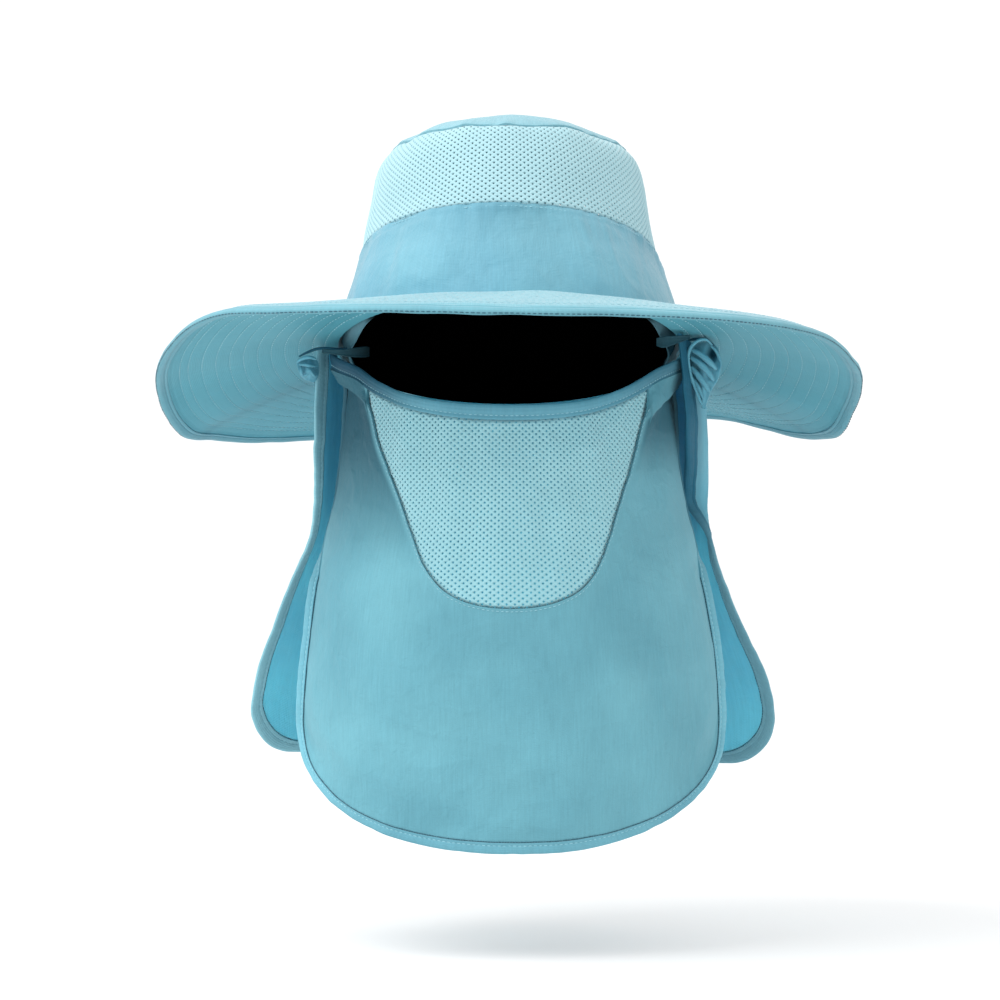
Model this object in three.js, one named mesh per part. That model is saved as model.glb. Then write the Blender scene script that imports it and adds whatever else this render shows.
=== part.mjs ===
// A wide-brimmed sun hat with a neck flap and a face flap, held as a head holds it.
// Millimetres, +Z up, the hat's front towards -Y. The origin is the centre of the head
// opening, where the crown meets the brim. The hat sits tipped back on the head, so the
// crown's own pieces are drawn upright and carried by a tilted group, while the brim and
// the hanging flaps are drawn where they hang.
import * as THREE from "three";

// Driving sizes
const TIP_BACK = THREE.MathUtils.degToRad(14); // the hat's tilt on the head
const OVAL = 1.08; // length of the head oval over its width
const SEAM = 0.3; // gap left between two pieces sewn edge to edge
const CLOTH = 1.2; // one layer of nylon with its turnings
const CROWN_WALL = 1.3;
const LINING_WALL = 1.0;
const BRIM_WALL = 2.4; // two layers with a stiffener between
const BINDING_WALL = 2.6;

const TIP_SEAM_HEIGHT = 101;
const TIP_RISE = 18.5;
const TIP_ROUNDING = 2.6; // a higher power makes the dome flatter on top
const BAND_SEAM = { height: 47.2, frontRise: 4, lean: 1.5 }; // between the band and the mesh
const LINING = { low: -7, high: 46 }; // it hangs past the seam, over the flap's sewn edge
const LAYER_GAP = 0.7; // between the crown and its lining, which bend apart
const LINING_OFFSET = CROWN_WALL + LAYER_GAP;

const BRIM_HALF_WIDTH = 187;
const BRIM_REACH = { front: 192, back: 186 };
const BRIM_DROP_AT_CROWN = 0.7; // the brim's upper face starts this far below the crown wall
const BRIM_UNDER_CROWN = 0.5; // and its inner edge lies this far inside the crown's foot
const BRIM_BOW = { ends: 0.8, sides: 4.2 }; // how far it arches between crown and edge
const BRIM_ROOT = { share: 0.125, rise: 1.1 }; // it rises a little beside the crown
const BRIM_ROLL = { share: 0.14, drop: 2.2 }; // and rolls down at its edge
const BRIM_WIDTH = 97; // from crown to edge, for placing the tape
const BRIM_SLANT = 1.08; // how much thicker it is upright than square to its faces
const BRIM_BINDING = 6;
const BRIM_BINDING_WALL = 3.6;

const FLAP_BINDING = 6.5;
const MASK_BINDING = 6;
const MASK_TOP_BINDING = 7.7;

// Half width of the crown at each height above the head opening
const CROWN_PROFILE = [
  { height: 0, halfWidth: 91.5 },
  { height: 12, halfWidth: 89.4 },
  { height: 25, halfWidth: 86 },
  { height: 36, halfWidth: 82 },
  { height: 48, halfWidth: 78.6 },
  { height: 62, halfWidth: 76 },
  { height: 78, halfWidth: 73.8 },
  { height: 88, halfWidth: 72.2 },
  { height: 95, halfWidth: 69.8 },
  { height: TIP_SEAM_HEIGHT, halfWidth: 65 },
];

// Height of the brim's edge, by the angle from the front towards +X
const BRIM_EDGE = [
  { angle: -180, height: -38 },
  { angle: -160, height: -42 },
  { angle: -143, height: -45.3 },
  { angle: -128, height: -47.2 },
  { angle: -117, height: -46.2 },
  { angle: -109, height: -45.6 },
  { angle: -103, height: -40.5 },
  { angle: -97, height: -33 },
  { angle: -90, height: -22.5 },
  { angle: -80, height: -12.6 },
  { angle: -70, height: -2.4 },
  { angle: -60, height: 7.4 },
  { angle: -50, height: 12.6 },
  { angle: -38, height: 12.1 },
  { angle: -20, height: 11.6 },
  { angle: 0, height: 9.9 },
  { angle: 20, height: 9.4 },
  { angle: 38, height: 7.6 },
  { angle: 52, height: 4.6 },
  { angle: 61, height: 0.6 },
  { angle: 73, height: -9.5 },
  { angle: 85, height: -18.8 },
  { angle: 97, height: -32.5 },
  { angle: 104, height: -43 },
  { angle: 111, height: -46.3 },
  { angle: 120, height: -44.8 },
  { angle: 128, height: -40.4 },
  { angle: 141, height: -33 },
  { angle: 160, height: -33.5 },
  { angle: 180, height: -38 },
];

// The neck flap at each height: half width and reach behind of its body, and where its
// front edge stands out to on each side
const FLAP_SECTIONS = [
  { height: -230, halfWidth: 108, back: 124, left: 134, right: 138 },
  { height: -196, halfWidth: 106, back: 121, left: 137, right: 141 },
  { height: -175, halfWidth: 104, back: 118, left: 134, right: 136.5 },
  { height: -150, halfWidth: 101, back: 114, left: 125.5, right: 125 },
  { height: -125, halfWidth: 98, back: 110, left: 116, right: 114 },
  { height: -99, halfWidth: 95.5, back: 106, left: 105.5, right: 105.5 },
  { height: -70, halfWidth: 93.5, back: 103, left: 103, right: 105 },
  { height: -40, halfWidth: 92.5, back: 100, left: 102.5, right: 104 },
  { height: -4, halfWidth: 92, back: 98, left: 101, right: 102 },
  { height: 30, halfWidth: 92, back: 98, left: 97, right: 98 },
];
const FLAP_END_ANGLE = 88; // its front edges hang this far round from the front
const FLAP_BOTTOM = { middle: -225, sideRise: 6, lean: 3.5 };
const FLAP_CORNER = { share: 0.13, rise: 24 };
const FLAP_FOLDS = { count: 7.7, depth: 5.5, deepening: 1.3 };
const FLAP_DROP = { length: 200, most: 1.2 }; // folds deepen over this length, and a bit beyond
const FLAP_SEAM_DROP = 1.05; // its sewn edge is this far under the brim's lower face
const FLAP_TAPE_DROP = 0.8; // its tape ends this much lower than the cloth
const FLAP_WING_START = { top: 0.8, bottom: 0.62 }; // where each side begins to stand out
const FLAP_WING_BACK = 10; // and how far back it swings at the hem
// Above a height, the right front edge curls in beside the face flap
const FLAP_CURL = { cloth: 0.09, inwards: 10.5, back: 5, from: -80, to: -115 };
const FLAP_HALF_LENGTH = 158; // from the middle of the back round to a front edge

// The face flap at each height: half width, and how far forward its middle and edges stand
const MASK_SECTIONS = [
  { height: -262, halfWidth: 112.4, middle: -102, edge: -24 },
  { height: -196, halfWidth: 112.4, middle: -109, edge: -20 },
  { height: -180, halfWidth: 111.9, middle: -110, edge: -19 },
  { height: -156, halfWidth: 109.6, middle: -111, edge: -17 },
  { height: -128, halfWidth: 105.2, middle: -112, edge: -15 },
  { height: -101, halfWidth: 97.5, middle: -112, edge: -13 },
  { height: -80, halfWidth: 92.8, middle: -112, edge: -12 },
  { height: -53, halfWidth: 89, middle: -110, edge: -11 },
  { height: 0, halfWidth: 86, middle: -106, edge: -12 },
];
const MASK_LEAN = { right: 1.1, from: -60, to: -200 }; // it hangs a little to the right
const MASK_HALF_ANGLE = THREE.MathUtils.degToRad(80);
const MASK_SIDE_LENGTH_TO = -196; // below this height its corners turn in
const MASK_BOTTOM_DEPTH = 64.2;
const MASK_CORNER_POWERS = { across: 2.4, down: 2.2 };
const MASK_TOP = { middle: -34.3, rise: 30.1, power: 3, halfWidth: 88 };
const MASK_MEAN_HALF_WIDTH = 92;

// Lower edge of the mesh window, by its place across the face flap from 0 to 1
const WINDOW_EDGE = [
  { across: 0, height: -136.8 },
  { across: 0.12, height: -135.8 },
  { across: 0.24, height: -132.4 },
  { across: 0.35, height: -125.5 },
  { across: 0.45, height: -112.5 },
  { across: 0.555, height: -92.5 },
  { across: 0.67, height: -70 },
  { across: 0.745, height: -53 },
  { across: 0.79, height: -39 },
  { across: 0.83, height: -26 },
];
const WINDOW_HALF = 0.815;

const COLOURS = {
  nylon: new THREE.MeshStandardMaterial({ color: "#86c4d3", roughness: 0.78 }),
  mesh: new THREE.MeshStandardMaterial({ color: "#b4e2e9", roughness: 0.85 }),
  binding: new THREE.MeshStandardMaterial({ color: "#6fb0c2", roughness: 0.7 }),
  lining: new THREE.MeshStandardMaterial({ color: "#0c0d0f", roughness: 0.9 }),
};

// Number helpers

const rad = THREE.MathUtils.degToRad;
const lerp = THREE.MathUtils.lerp;
const smooth = (x) => THREE.MathUtils.smoothstep(x, 0, 1);

// A smooth curve through the rows of a table: cubic pieces, with slopes from the rows around
function curveThrough(rows, key, value) {
  const sorted = [...rows].sort((a, b) => a[key] - b[key]);
  const xs = sorted.map((r) => r[key]);
  const ys = sorted.map((r) => r[value]);
  const last = xs.length - 1;
  const slopes = xs.map((_, i) => {
    const [a, b] = [Math.max(i - 1, 0), Math.min(i + 1, last)];
    return (ys[b] - ys[a]) / (xs[b] - xs[a]);
  });
  return (x) => {
    const at = THREE.MathUtils.clamp(x, xs[0], xs[last]);
    let i = 0;
    while (i < last - 1 && at > xs[i + 1]) i++;
    const step = xs[i + 1] - xs[i];
    const t = (at - xs[i]) / step;
    const [t2, t3] = [t * t, t * t * t];
    return (
      (2 * t3 - 3 * t2 + 1) * ys[i] +
      (t3 - 2 * t2 + t) * step * slopes[i] +
      (3 * t2 - 2 * t3) * ys[i + 1] +
      (t3 - t2) * step * slopes[i + 1]
    );
  };
}

// Turns a point from the crown's upright frame into the hat's worn one
const tilt = (p) => p.applyAxisAngle(new THREE.Vector3(1, 0, 0), -TIP_BACK);

// Solids

// A closed solid between two grids of points, rows[v][u]. A ring's rows close on themselves.
// A row of one point, such as a dome's top, stands for the whole row.
function solidBetween(outer, inner, ring) {
  const columns = Math.max(...outer.map((row) => row.length));
  const positions = [];
  const index = [];
  const place = (grid) =>
    grid.map((row) => {
      const first = positions.length / 3;
      row.forEach((p) => positions.push(p.x, p.y, p.z));
      return (u) => first + (row.length === 1 ? 0 : u % row.length);
    });
  const face = (...corners) => {
    const [first, ...rest] = corners.filter((c, i) => c !== corners[(i + 1) % corners.length]);
    for (let i = 1; i < rest.length; i++) index.push(first, rest[i - 1], rest[i]);
  };
  const [front, back] = [place(outer), place(inner)];
  const across = ring ? columns : columns - 1;
  const down = outer.length - 1;
  for (let v = 0; v < down; v++) {
    for (let u = 0; u < across; u++) {
      face(front[v](u), front[v](u + 1), front[v + 1](u + 1), front[v + 1](u));
      face(back[v](u), back[v + 1](u), back[v + 1](u + 1), back[v](u + 1));
    }
    if (!ring) {
      face(front[v](0), front[v + 1](0), back[v + 1](0), back[v](0));
      face(front[v](across), back[v](across), back[v + 1](across), front[v + 1](across));
    }
  }
  for (let u = 0; u < across; u++) {
    if (outer[0].length > 1) face(front[0](u), back[0](u), back[0](u + 1), front[0](u + 1));
    if (outer[down].length > 1)
      face(front[down](u), front[down](u + 1), back[down](u + 1), back[down](u));
  }
  const geometry = new THREE.BufferGeometry();
  geometry.setAttribute("position", new THREE.Float32BufferAttribute(positions, 3));
  geometry.setIndex(index);
  return facingOut(geometry);
}

// Turns a closed geometry's faces round if they point inwards
function facingOut(geometry) {
  const at = geometry.getAttribute("position");
  const index = geometry.getIndex().array;
  const [a, b, c] = [new THREE.Vector3(), new THREE.Vector3(), new THREE.Vector3()];
  let volume = 0;
  for (let i = 0; i < index.length; i += 3) {
    [a, b, c].forEach((p, k) => p.fromBufferAttribute(at, index[i + k]));
    volume += a.dot(b.cross(c)) / 6;
  }
  if (volume < 0) geometry.setIndex([...index].reverse());
  geometry.computeVertexNormals();
  return geometry;
}

// A cloth wall on a surface point(u, v), both from 0 to 1, reaching from one distance to
// another along the surface's own normal
function wall({ point, columns, rows, from, to, ring = false, pole = false }) {
  const step = 1e-3;
  const normal = (u, v) => {
    const [u0, u1] = ring ? [u - step, u + step] : [Math.max(u - step, 0), Math.min(u + step, 1)];
    const [v0, v1] = [Math.max(v - step, 0), Math.min(v + step, 1)];
    const along = point(u1, v).sub(point(u0, v));
    const down = point(u, v1).sub(point(u, v0));
    return along.cross(down).normalize();
  };
  const grid = (distance) => {
    const made = [];
    for (let j = 0; j <= rows; j++) {
      const row = [];
      for (let i = 0; i < (ring ? columns : columns + 1); i++) {
        const [u, v] = [i / columns, j / rows];
        row.push(point(u, v).addScaledVector(normal(u, v), distance));
      }
      made.push(row);
    }
    if (pole) {
      const middle = made[0].reduce((sum, p) => sum.add(p), new THREE.Vector3());
      made[0] = [middle.divideScalar(columns)];
    }
    return made;
  };
  return solidBetween(grid(from), grid(to), ring);
}

// The tape round an edge: a rounded strip laid between an inner and an outer line of the
// same surface. line(s) gives { inner, outer, normal } for s from 0 to 1.
const TAPE_SECTION = [
  { across: 0, out: 0.42 },
  { across: 0.6, out: 0.5 },
  { across: 1, out: 0.24 },
  { across: 1, out: -0.24 },
  { across: 0.6, out: -0.5 },
  { across: 0, out: -0.42 },
];
function tape({ line, segments, thickness, closed = false }) {
  const rings = [];
  for (let i = 0; i < (closed ? segments : segments + 1); i++) {
    const { inner, outer, normal } = line(i / segments);
    rings.push(
      TAPE_SECTION.map(({ across, out }) =>
        inner.clone().lerp(outer, across).addScaledVector(normal, out * thickness),
      ),
    );
  }
  const positions = rings.flat().flatMap((p) => [p.x, p.y, p.z]);
  const sides = TAPE_SECTION.length;
  const index = [];
  for (let i = 0; i < segments; i++) {
    const [a, b] = [i * sides, ((i + 1) % rings.length) * sides];
    for (let k = 0; k < sides; k++) {
      const n = (k + 1) % sides;
      index.push(a + k, b + k, b + n, a + k, b + n, a + n);
    }
  }
  if (!closed) {
    const end = segments * sides;
    for (let k = 1; k < sides - 1; k++) {
      index.push(0, k, k + 1);
      index.push(end, end + k + 1, end + k);
    }
  }
  const geometry = new THREE.BufferGeometry();
  geometry.setAttribute("position", new THREE.Float32BufferAttribute(positions, 3));
  geometry.setIndex(index);
  return facingOut(geometry);
}

const piece = (name, geometry, material) => {
  const made = new THREE.Mesh(geometry, material);
  made.name = name;
  return made;
};

// Crown, in its own upright frame

const crownHalfWidth = curveThrough(CROWN_PROFILE, "height", "halfWidth");
const AROUND_CROWN = 48;

// A point on the crown's outside. Below the opening's plane the oval stays as it is there.
const crownPoint = (angle, height) => {
  const half = crownHalfWidth(height);
  return new THREE.Vector3(half * Math.sin(angle), -half * OVAL * Math.cos(angle), height);
};

// The seam between the plain band and the mesh is highest at the front
const bandSeamHeight = (angle) =>
  BAND_SEAM.height + BAND_SEAM.frontRise * Math.cos(angle) - BAND_SEAM.lean * Math.sin(angle);

function crownWall({ low, high, rows }) {
  return wall({
    point: (u, v) => {
      const angle = -2 * Math.PI * u;
      return crownPoint(angle, lerp(high(angle), low(angle), v));
    },
    columns: AROUND_CROWN,
    rows,
    from: 0,
    to: -CROWN_WALL,
    ring: true,
  });
}

function crownBand() {
  const low = () => 0;
  const high = (angle) => bandSeamHeight(angle) - SEAM / 2;
  return crownWall({ low, high, rows: 3 });
}

function crownMesh() {
  const low = (angle) => bandSeamHeight(angle) + SEAM / 2;
  const high = () => TIP_SEAM_HEIGHT - SEAM / 2;
  return crownWall({ low, high, rows: 5 });
}

// The domed top, drawn from its middle out to the seam
function domePoint(angle, share) {
  const half = crownHalfWidth(TIP_SEAM_HEIGHT) * share;
  const height = TIP_SEAM_HEIGHT + SEAM + TIP_RISE * (1 - share ** TIP_ROUNDING);
  return new THREE.Vector3(half * Math.sin(angle), -half * OVAL * Math.cos(angle), height);
}

function crownTip() {
  return wall({
    point: (u, v) => domePoint(-2 * Math.PI * u, Math.max(v, 1e-3)),
    columns: AROUND_CROWN,
    rows: 4,
    from: 0,
    to: -CROWN_WALL,
    ring: true,
    pole: true,
  });
}

// The dark band inside the crown, which is all of its lining that shows
function crownLining() {
  return wall({
    point: (u, v) => crownPoint(-2 * Math.PI * u, lerp(LINING.high, LINING.low, v)),
    columns: AROUND_CROWN,
    rows: 4,
    from: -LINING_OFFSET,
    to: -LINING_OFFSET - LINING_WALL,
    ring: true,
  });
}

// Brim

const brimEdgeHeight = curveThrough(BRIM_EDGE, "angle", "height");
const AROUND_BRIM = 66;

function brimInner(angle) {
  const half = crownHalfWidth(0) - BRIM_UNDER_CROWN;
  const long = crownHalfWidth(0) * OVAL - BRIM_UNDER_CROWN;
  const x = half * Math.sin(angle);
  const y = -long * Math.cos(angle);
  return tilt(new THREE.Vector3(x, y, -BRIM_DROP_AT_CROWN));
}

function brimOuter(angle) {
  const reach = lerp(BRIM_REACH.back, BRIM_REACH.front, (1 + Math.cos(angle)) / 2);
  const height = brimEdgeHeight(THREE.MathUtils.radToDeg(angle));
  return new THREE.Vector3(BRIM_HALF_WIDTH * Math.sin(angle), -reach * Math.cos(angle), height);
}

// The upper face: it bows up between the crown and the edge, and most where the sides droop,
// and its last stretch rolls down
function brimPoint(angle, share) {
  const bow = lerp(BRIM_BOW.ends, BRIM_BOW.sides, Math.sin(angle) ** 2);
  const root = BRIM_ROOT.rise * smooth(share / BRIM_ROOT.share);
  const roll = BRIM_ROLL.drop * smooth((share - 1) / BRIM_ROLL.share + 1);
  const p = brimInner(angle).lerp(brimOuter(angle), share);
  p.z += bow * 4 * share * (1 - share) + root - roll;
  return p;
}
const BRIM_OVAL = 1.03; // its length over its width, near the crown
const brimAngle = (u) => -Math.PI + 2 * Math.PI * u;

// Height of the brim's lower face over a place on the ground plan
function underBrim(x, y) {
  const angle = Math.atan2(x, -y / BRIM_OVAL);
  const [from, to] = [0, 1].map((share) => {
    const p = brimPoint(angle, share);
    return Math.hypot(p.x, p.y);
  });
  const share = (Math.hypot(x, y) - from) / (to - from);
  return brimPoint(angle, Math.max(share, 0)).z - BRIM_WALL * BRIM_SLANT;
}

function brim() {
  const end = 1 - (BRIM_BINDING + SEAM) / BRIM_WIDTH;
  return wall({
    point: (u, v) => brimPoint(brimAngle(u), end * v),
    columns: AROUND_BRIM,
    rows: 6,
    from: 0,
    to: BRIM_WALL,
    ring: true,
  });
}

function brimBinding() {
  const inner = 1 - BRIM_BINDING / BRIM_WIDTH;
  return tape({
    line: (s) => {
      const angle = brimAngle(s);
      const [a, b] = [brimPoint(angle, inner), brimPoint(angle, 1)];
      const across = b.clone().sub(a);
      const along = brimPoint(angle + 0.01, 1).sub(brimPoint(angle - 0.01, 1));
      const normal = across.cross(along).normalize();
      if (normal.z < 0) normal.negate();
      [a, b].forEach((p) => p.addScaledVector(normal, -BRIM_WALL / 2));
      return { inner: a, outer: b, normal };
    },
    segments: AROUND_BRIM,
    thickness: BRIM_BINDING_WALL,
    closed: true,
  });
}

// Neck flap

const flapSection = Object.fromEntries(
  ["halfWidth", "back", "left", "right"].map((name) => [
    name,
    curveThrough(FLAP_SECTIONS, "height", name),
  ]),
);

// u runs from the left front edge (-1) round the back to the right one (1)
const flapAngle = (u) => Math.PI - u * rad(180 - FLAP_END_ANGLE);

// The flap is sewn up under the brim, just below its lower face
function flapTopHeight(u) {
  const { x, y } = flapAcross(u, 0, 0);
  return underBrim(x, y) - FLAP_SEAM_DROP;
}

function flapBottomHeight(u, inset) {
  const { middle, sideRise, lean } = FLAP_BOTTOM;
  const start = 1 - FLAP_CORNER.share;
  const turned = THREE.MathUtils.clamp((Math.abs(u) - start) / FLAP_CORNER.share, 0, 1);
  const corner = FLAP_CORNER.rise * (1 - Math.sqrt(1 - turned ** 2));
  return middle + sideRise * u * u - lean * u + corner + inset;
}

// below is how far down the flap the point is, as a share of its length
function flapAcross(u, height, below) {
  const angle = flapAngle(u);
  const start = lerp(FLAP_WING_START.top, FLAP_WING_START.bottom, Math.min(below, 1));
  const { cloth, inwards, back, from, to } = FLAP_CURL;
  const curl = u > 0 ? smooth((height - to) / (from - to)) : 0;
  const reach = 1 - cloth * curl;
  const wing = THREE.MathUtils.clamp((Math.abs(u) - start) / (reach - start), 0, 1) ** 2;
  const turned = curl * Math.max(0, (u - reach) / cloth);
  const body = flapSection.halfWidth(height);
  const edge = u < 0 ? flapSection.left(height) : flapSection.right(height);
  const fold = Math.cos(FLAP_FOLDS.count * (angle - Math.PI)) * (1 - wing);
  const out = 1 + (FLAP_FOLDS.depth * below ** FLAP_FOLDS.deepening * fold) / body;
  const side = Math.sign(u);
  const x = body * Math.sin(angle) * out + side * (edge - body) * wing - inwards * turned ** 1.5;
  const swing = FLAP_WING_BACK * below * wing + back * turned;
  const y = -flapSection.back(height) * Math.cos(angle) * out + swing;
  return new THREE.Vector3(x, y, height);
}

function flapPoint(u, height) {
  const below = (flapTopHeight(u) - height) / FLAP_DROP.length;
  return flapAcross(u, height, THREE.MathUtils.clamp(below, 0, FLAP_DROP.most));
}

// Its steps along the bottom bunch up towards the corners, for the sheet and its tape alike
const FLAP_STEPS = { side: 12, bottom: 32 };
const flapPlace = (s) => Math.sin((s - 0.5) * Math.PI);

function flapSheet() {
  const edge = 1 - (FLAP_BINDING + SEAM) / FLAP_HALF_LENGTH;
  return wall({
    point: (s, v) => {
      const u = edge * flapPlace(s);
      const bottom = flapBottomHeight(flapPlace(s), FLAP_BINDING + SEAM);
      return flapPoint(u, lerp(flapTopHeight(u), bottom, v));
    },
    columns: FLAP_STEPS.bottom,
    rows: FLAP_STEPS.side,
    from: -CLOTH / 2,
    to: CLOTH / 2,
  });
}

// The line along the left front edge, the bottom and the right front edge
function flapOutline(s, inset) {
  const turn = FLAP_STEPS.side / (2 * FLAP_STEPS.side + FLAP_STEPS.bottom);
  const edge = 1 - inset / FLAP_HALF_LENGTH;
  if (s < turn || s > 1 - turn) {
    const side = s < turn ? -1 : 1;
    const down = side < 0 ? s / turn : (1 - s) / turn;
    const u = side * edge;
    const top = flapTopHeight(u) - FLAP_TAPE_DROP;
    return flapPoint(u, lerp(top, flapBottomHeight(side, inset), down));
  }
  const across = flapPlace((s - turn) / (1 - 2 * turn));
  return flapPoint(across * edge, flapBottomHeight(across, inset));
}

function edgeTape(outline, segments, width) {
  return tape({
    line: (s) => {
      const [inner, outer] = [outline(s, width), outline(s, 0)];
      const [before, after] = [outline(Math.max(s - 0.01, 0), 0), outline(Math.min(s + 0.01, 1), 0)];
      const normal = after.sub(before).cross(outer.clone().sub(inner)).normalize();
      return { inner, outer, normal };
    },
    segments,
    thickness: BINDING_WALL,
  });
}

const flapBinding = () =>
  edgeTape(flapOutline, 2 * FLAP_STEPS.side + FLAP_STEPS.bottom, FLAP_BINDING);

// The flap's top corners are bunched up and rolled over under the brim
const CORNER_ROLLS = {
  left: { side: -1, x: 107.4, y: -22, width: 8.5, hang: 19, depth: 18.5, lean: 0.6 },
  right: { side: 1, x: 105.4, y: -28, width: 9, hang: 30, depth: 33, lean: 2.6 },
};
const ROLL_TURN = { from: 1.25, sweep: 1.5 }; // half turns, from inside over the top
const ROLL_PINCH = 0.45; // how much narrower the front end is, drawn together
const ROLL_CREST = 0.35; // share of the cloth that lies over the top
const ROLL_HANG_POWER = 1.2;
function cornerRoll({ side, x, y, width, hang, depth, lean }) {
  const half = width / 2;
  return wall({
    point: (s, v) => {
      const turn = Math.PI * (ROLL_TURN.from - ROLL_TURN.sweep * s);
      const pinch = 1 - ROLL_PINCH * (1 - v) ** 2;
      const down = Math.max(0, Math.abs(2 * s - 1) - ROLL_CREST) / (1 - ROLL_CREST);
      const across = half * Math.cos(turn) * pinch - lean * down;
      const back = y + depth * v;
      const roof = underBrim(side * (x + half), back) - FLAP_SEAM_DROP;
      const height = roof - half + half * Math.sin(turn) * pinch;
      const hanging = (hang - width) * down ** ROLL_HANG_POWER * pinch;
      return new THREE.Vector3(side * (x + across), back, height - hanging);
    },
    columns: 10,
    rows: 3,
    from: -CLOTH / 2,
    to: CLOTH / 2,
  });
}

// Face flap

const maskSection = Object.fromEntries(
  ["halfWidth", "middle", "edge"].map((name) => [name, curveThrough(MASK_SECTIONS, "height", name)]),
);
const windowEdgeHeight = curveThrough(WINDOW_EDGE, "across", "height");

const placeAcross = (angle) => Math.sin(angle) / Math.sin(MASK_HALF_ANGLE);

// angle runs across the flap from -MASK_HALF_ANGLE on the left to MASK_HALF_ANGLE
function maskPoint(angle, height) {
  const lean = MASK_LEAN.right * smooth((height - MASK_LEAN.from) / (MASK_LEAN.to - MASK_LEAN.from));
  const x = maskSection.halfWidth(height) * placeAcross(angle) + lean;
  const back = (1 - Math.cos(angle)) / (1 - Math.cos(MASK_HALF_ANGLE));
  const y = lerp(maskSection.middle(height), maskSection.edge(height), back);
  return new THREE.Vector3(x, y, height);
}
const maskTopHeight = (angle) =>
  MASK_TOP.middle + MASK_TOP.rise * Math.abs(placeAcross(angle)) ** MASK_TOP.power;

// How much longer a strip of the top tape is upright than square to its edge
function topSteepness(angle) {
  const { rise, power, halfWidth } = MASK_TOP;
  const slope = (rise * power * Math.abs(placeAcross(angle)) ** (power - 1)) / halfWidth;
  return Math.hypot(1, slope);
}
const clothTopHeight = (angle, gap) =>
  maskTopHeight(angle) - (MASK_TOP_BINDING + gap) * topSteepness(angle);

// The bottom edge inset by a tape's width: straight sides, then two rounded corners
const insetAngle = (inset) => MASK_HALF_ANGLE - inset / MASK_MEAN_HALF_WIDTH;
function maskBottomHeight(angle, inset) {
  const place = Math.min(1, Math.abs(Math.sin(angle) / Math.sin(insetAngle(inset))));
  const { across, down } = MASK_CORNER_POWERS;
  return MASK_SIDE_LENGTH_TO - (MASK_BOTTOM_DEPTH - inset) * (1 - place ** across) ** (1 / down);
}

// Columns across the face flap: even over the mesh window, whose two corners they meet,
// and bunching up towards the side edges, for the sheet and its tape alike
const WINDOW_ANGLE = Math.asin(WINDOW_HALF * Math.sin(MASK_HALF_ANGLE));
const MASK_STEPS = { window: 20, side: 6, down: 8 };
const MASK_COLUMNS = MASK_STEPS.window + 2 * MASK_STEPS.side;
function maskColumnAngle(s, inset) {
  const at = s * MASK_COLUMNS;
  const side = Math.sign(s - 0.5);
  const fromEdge = side < 0 ? at : MASK_COLUMNS - at;
  if (fromEdge >= MASK_STEPS.side) {
    return lerp(-WINDOW_ANGLE, WINDOW_ANGLE, (at - MASK_STEPS.side) / MASK_STEPS.window);
  }
  const out = Math.cos((fromEdge / MASK_STEPS.side) * (Math.PI / 2));
  return side * lerp(WINDOW_ANGLE, insetAngle(inset), out);
}

// The line down the left side, along the bottom and up the right side
function maskOutline(s, inset) {
  const turn = MASK_STEPS.down / (2 * MASK_STEPS.down + MASK_COLUMNS);
  if (s < turn || s > 1 - turn) {
    const side = s < turn ? -1 : 1;
    const down = side < 0 ? s / turn : (1 - s) / turn;
    const edge = insetAngle(inset);
    const top = clothTopHeight(edge, SEAM) - SEAM;
    return maskPoint(side * edge, lerp(top, MASK_SIDE_LENGTH_TO, down));
  }
  const angle = maskColumnAngle((s - turn) / (1 - 2 * turn), inset);
  return maskPoint(angle, maskBottomHeight(angle, inset));
}

const maskBinding = () =>
  edgeTape(maskOutline, 2 * MASK_STEPS.down + MASK_COLUMNS, MASK_BINDING);

// The window's edge, with a gap kept square to its slope
function windowHeight(angle, gap) {
  const across = Math.abs(placeAcross(angle));
  const step = 0.01;
  const rise = windowEdgeHeight(across + step) - windowEdgeHeight(across - step);
  return windowEdgeHeight(across) + gap * Math.hypot(1, rise / (2 * step * MASK_MEAN_HALF_WIDTH));
}

function maskPanel() {
  return wall({
    point: (s, v) => {
      const inset = MASK_BINDING + SEAM;
      const angle = maskColumnAngle(s, inset);
      const inWindow = Math.abs(angle) < WINDOW_ANGLE + 1e-6;
      const cloth = clothTopHeight(angle, SEAM);
      const top = inWindow ? Math.min(windowHeight(angle, -SEAM), cloth) : cloth;
      return maskPoint(angle, lerp(top, maskBottomHeight(angle, inset), v));
    },
    columns: MASK_COLUMNS,
    rows: MASK_STEPS.down,
    from: -CLOTH / 2,
    to: CLOTH / 2,
  });
}

function maskMesh() {
  return wall({
    point: (s, v) => {
      const angle = lerp(-WINDOW_ANGLE, WINDOW_ANGLE, s);
      return maskPoint(angle, lerp(clothTopHeight(angle, SEAM), windowHeight(angle, 0), v));
    },
    columns: MASK_STEPS.window,
    rows: 5,
    from: -CLOTH / 2,
    to: CLOTH / 2,
  });
}

function maskTopBinding() {
  return tape({
    line: (s) => {
      const angle = lerp(-MASK_HALF_ANGLE, MASK_HALF_ANGLE, s);
      const inner = maskPoint(angle, clothTopHeight(angle, 0));
      const outer = maskPoint(angle, maskTopHeight(angle));
      const along = maskPoint(angle + 0.01, inner.z).sub(maskPoint(angle - 0.01, inner.z));
      const normal = along.cross(outer.clone().sub(inner)).normalize();
      return { inner, outer, normal };
    },
    segments: 24,
    thickness: BINDING_WALL,
  });
}

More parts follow.
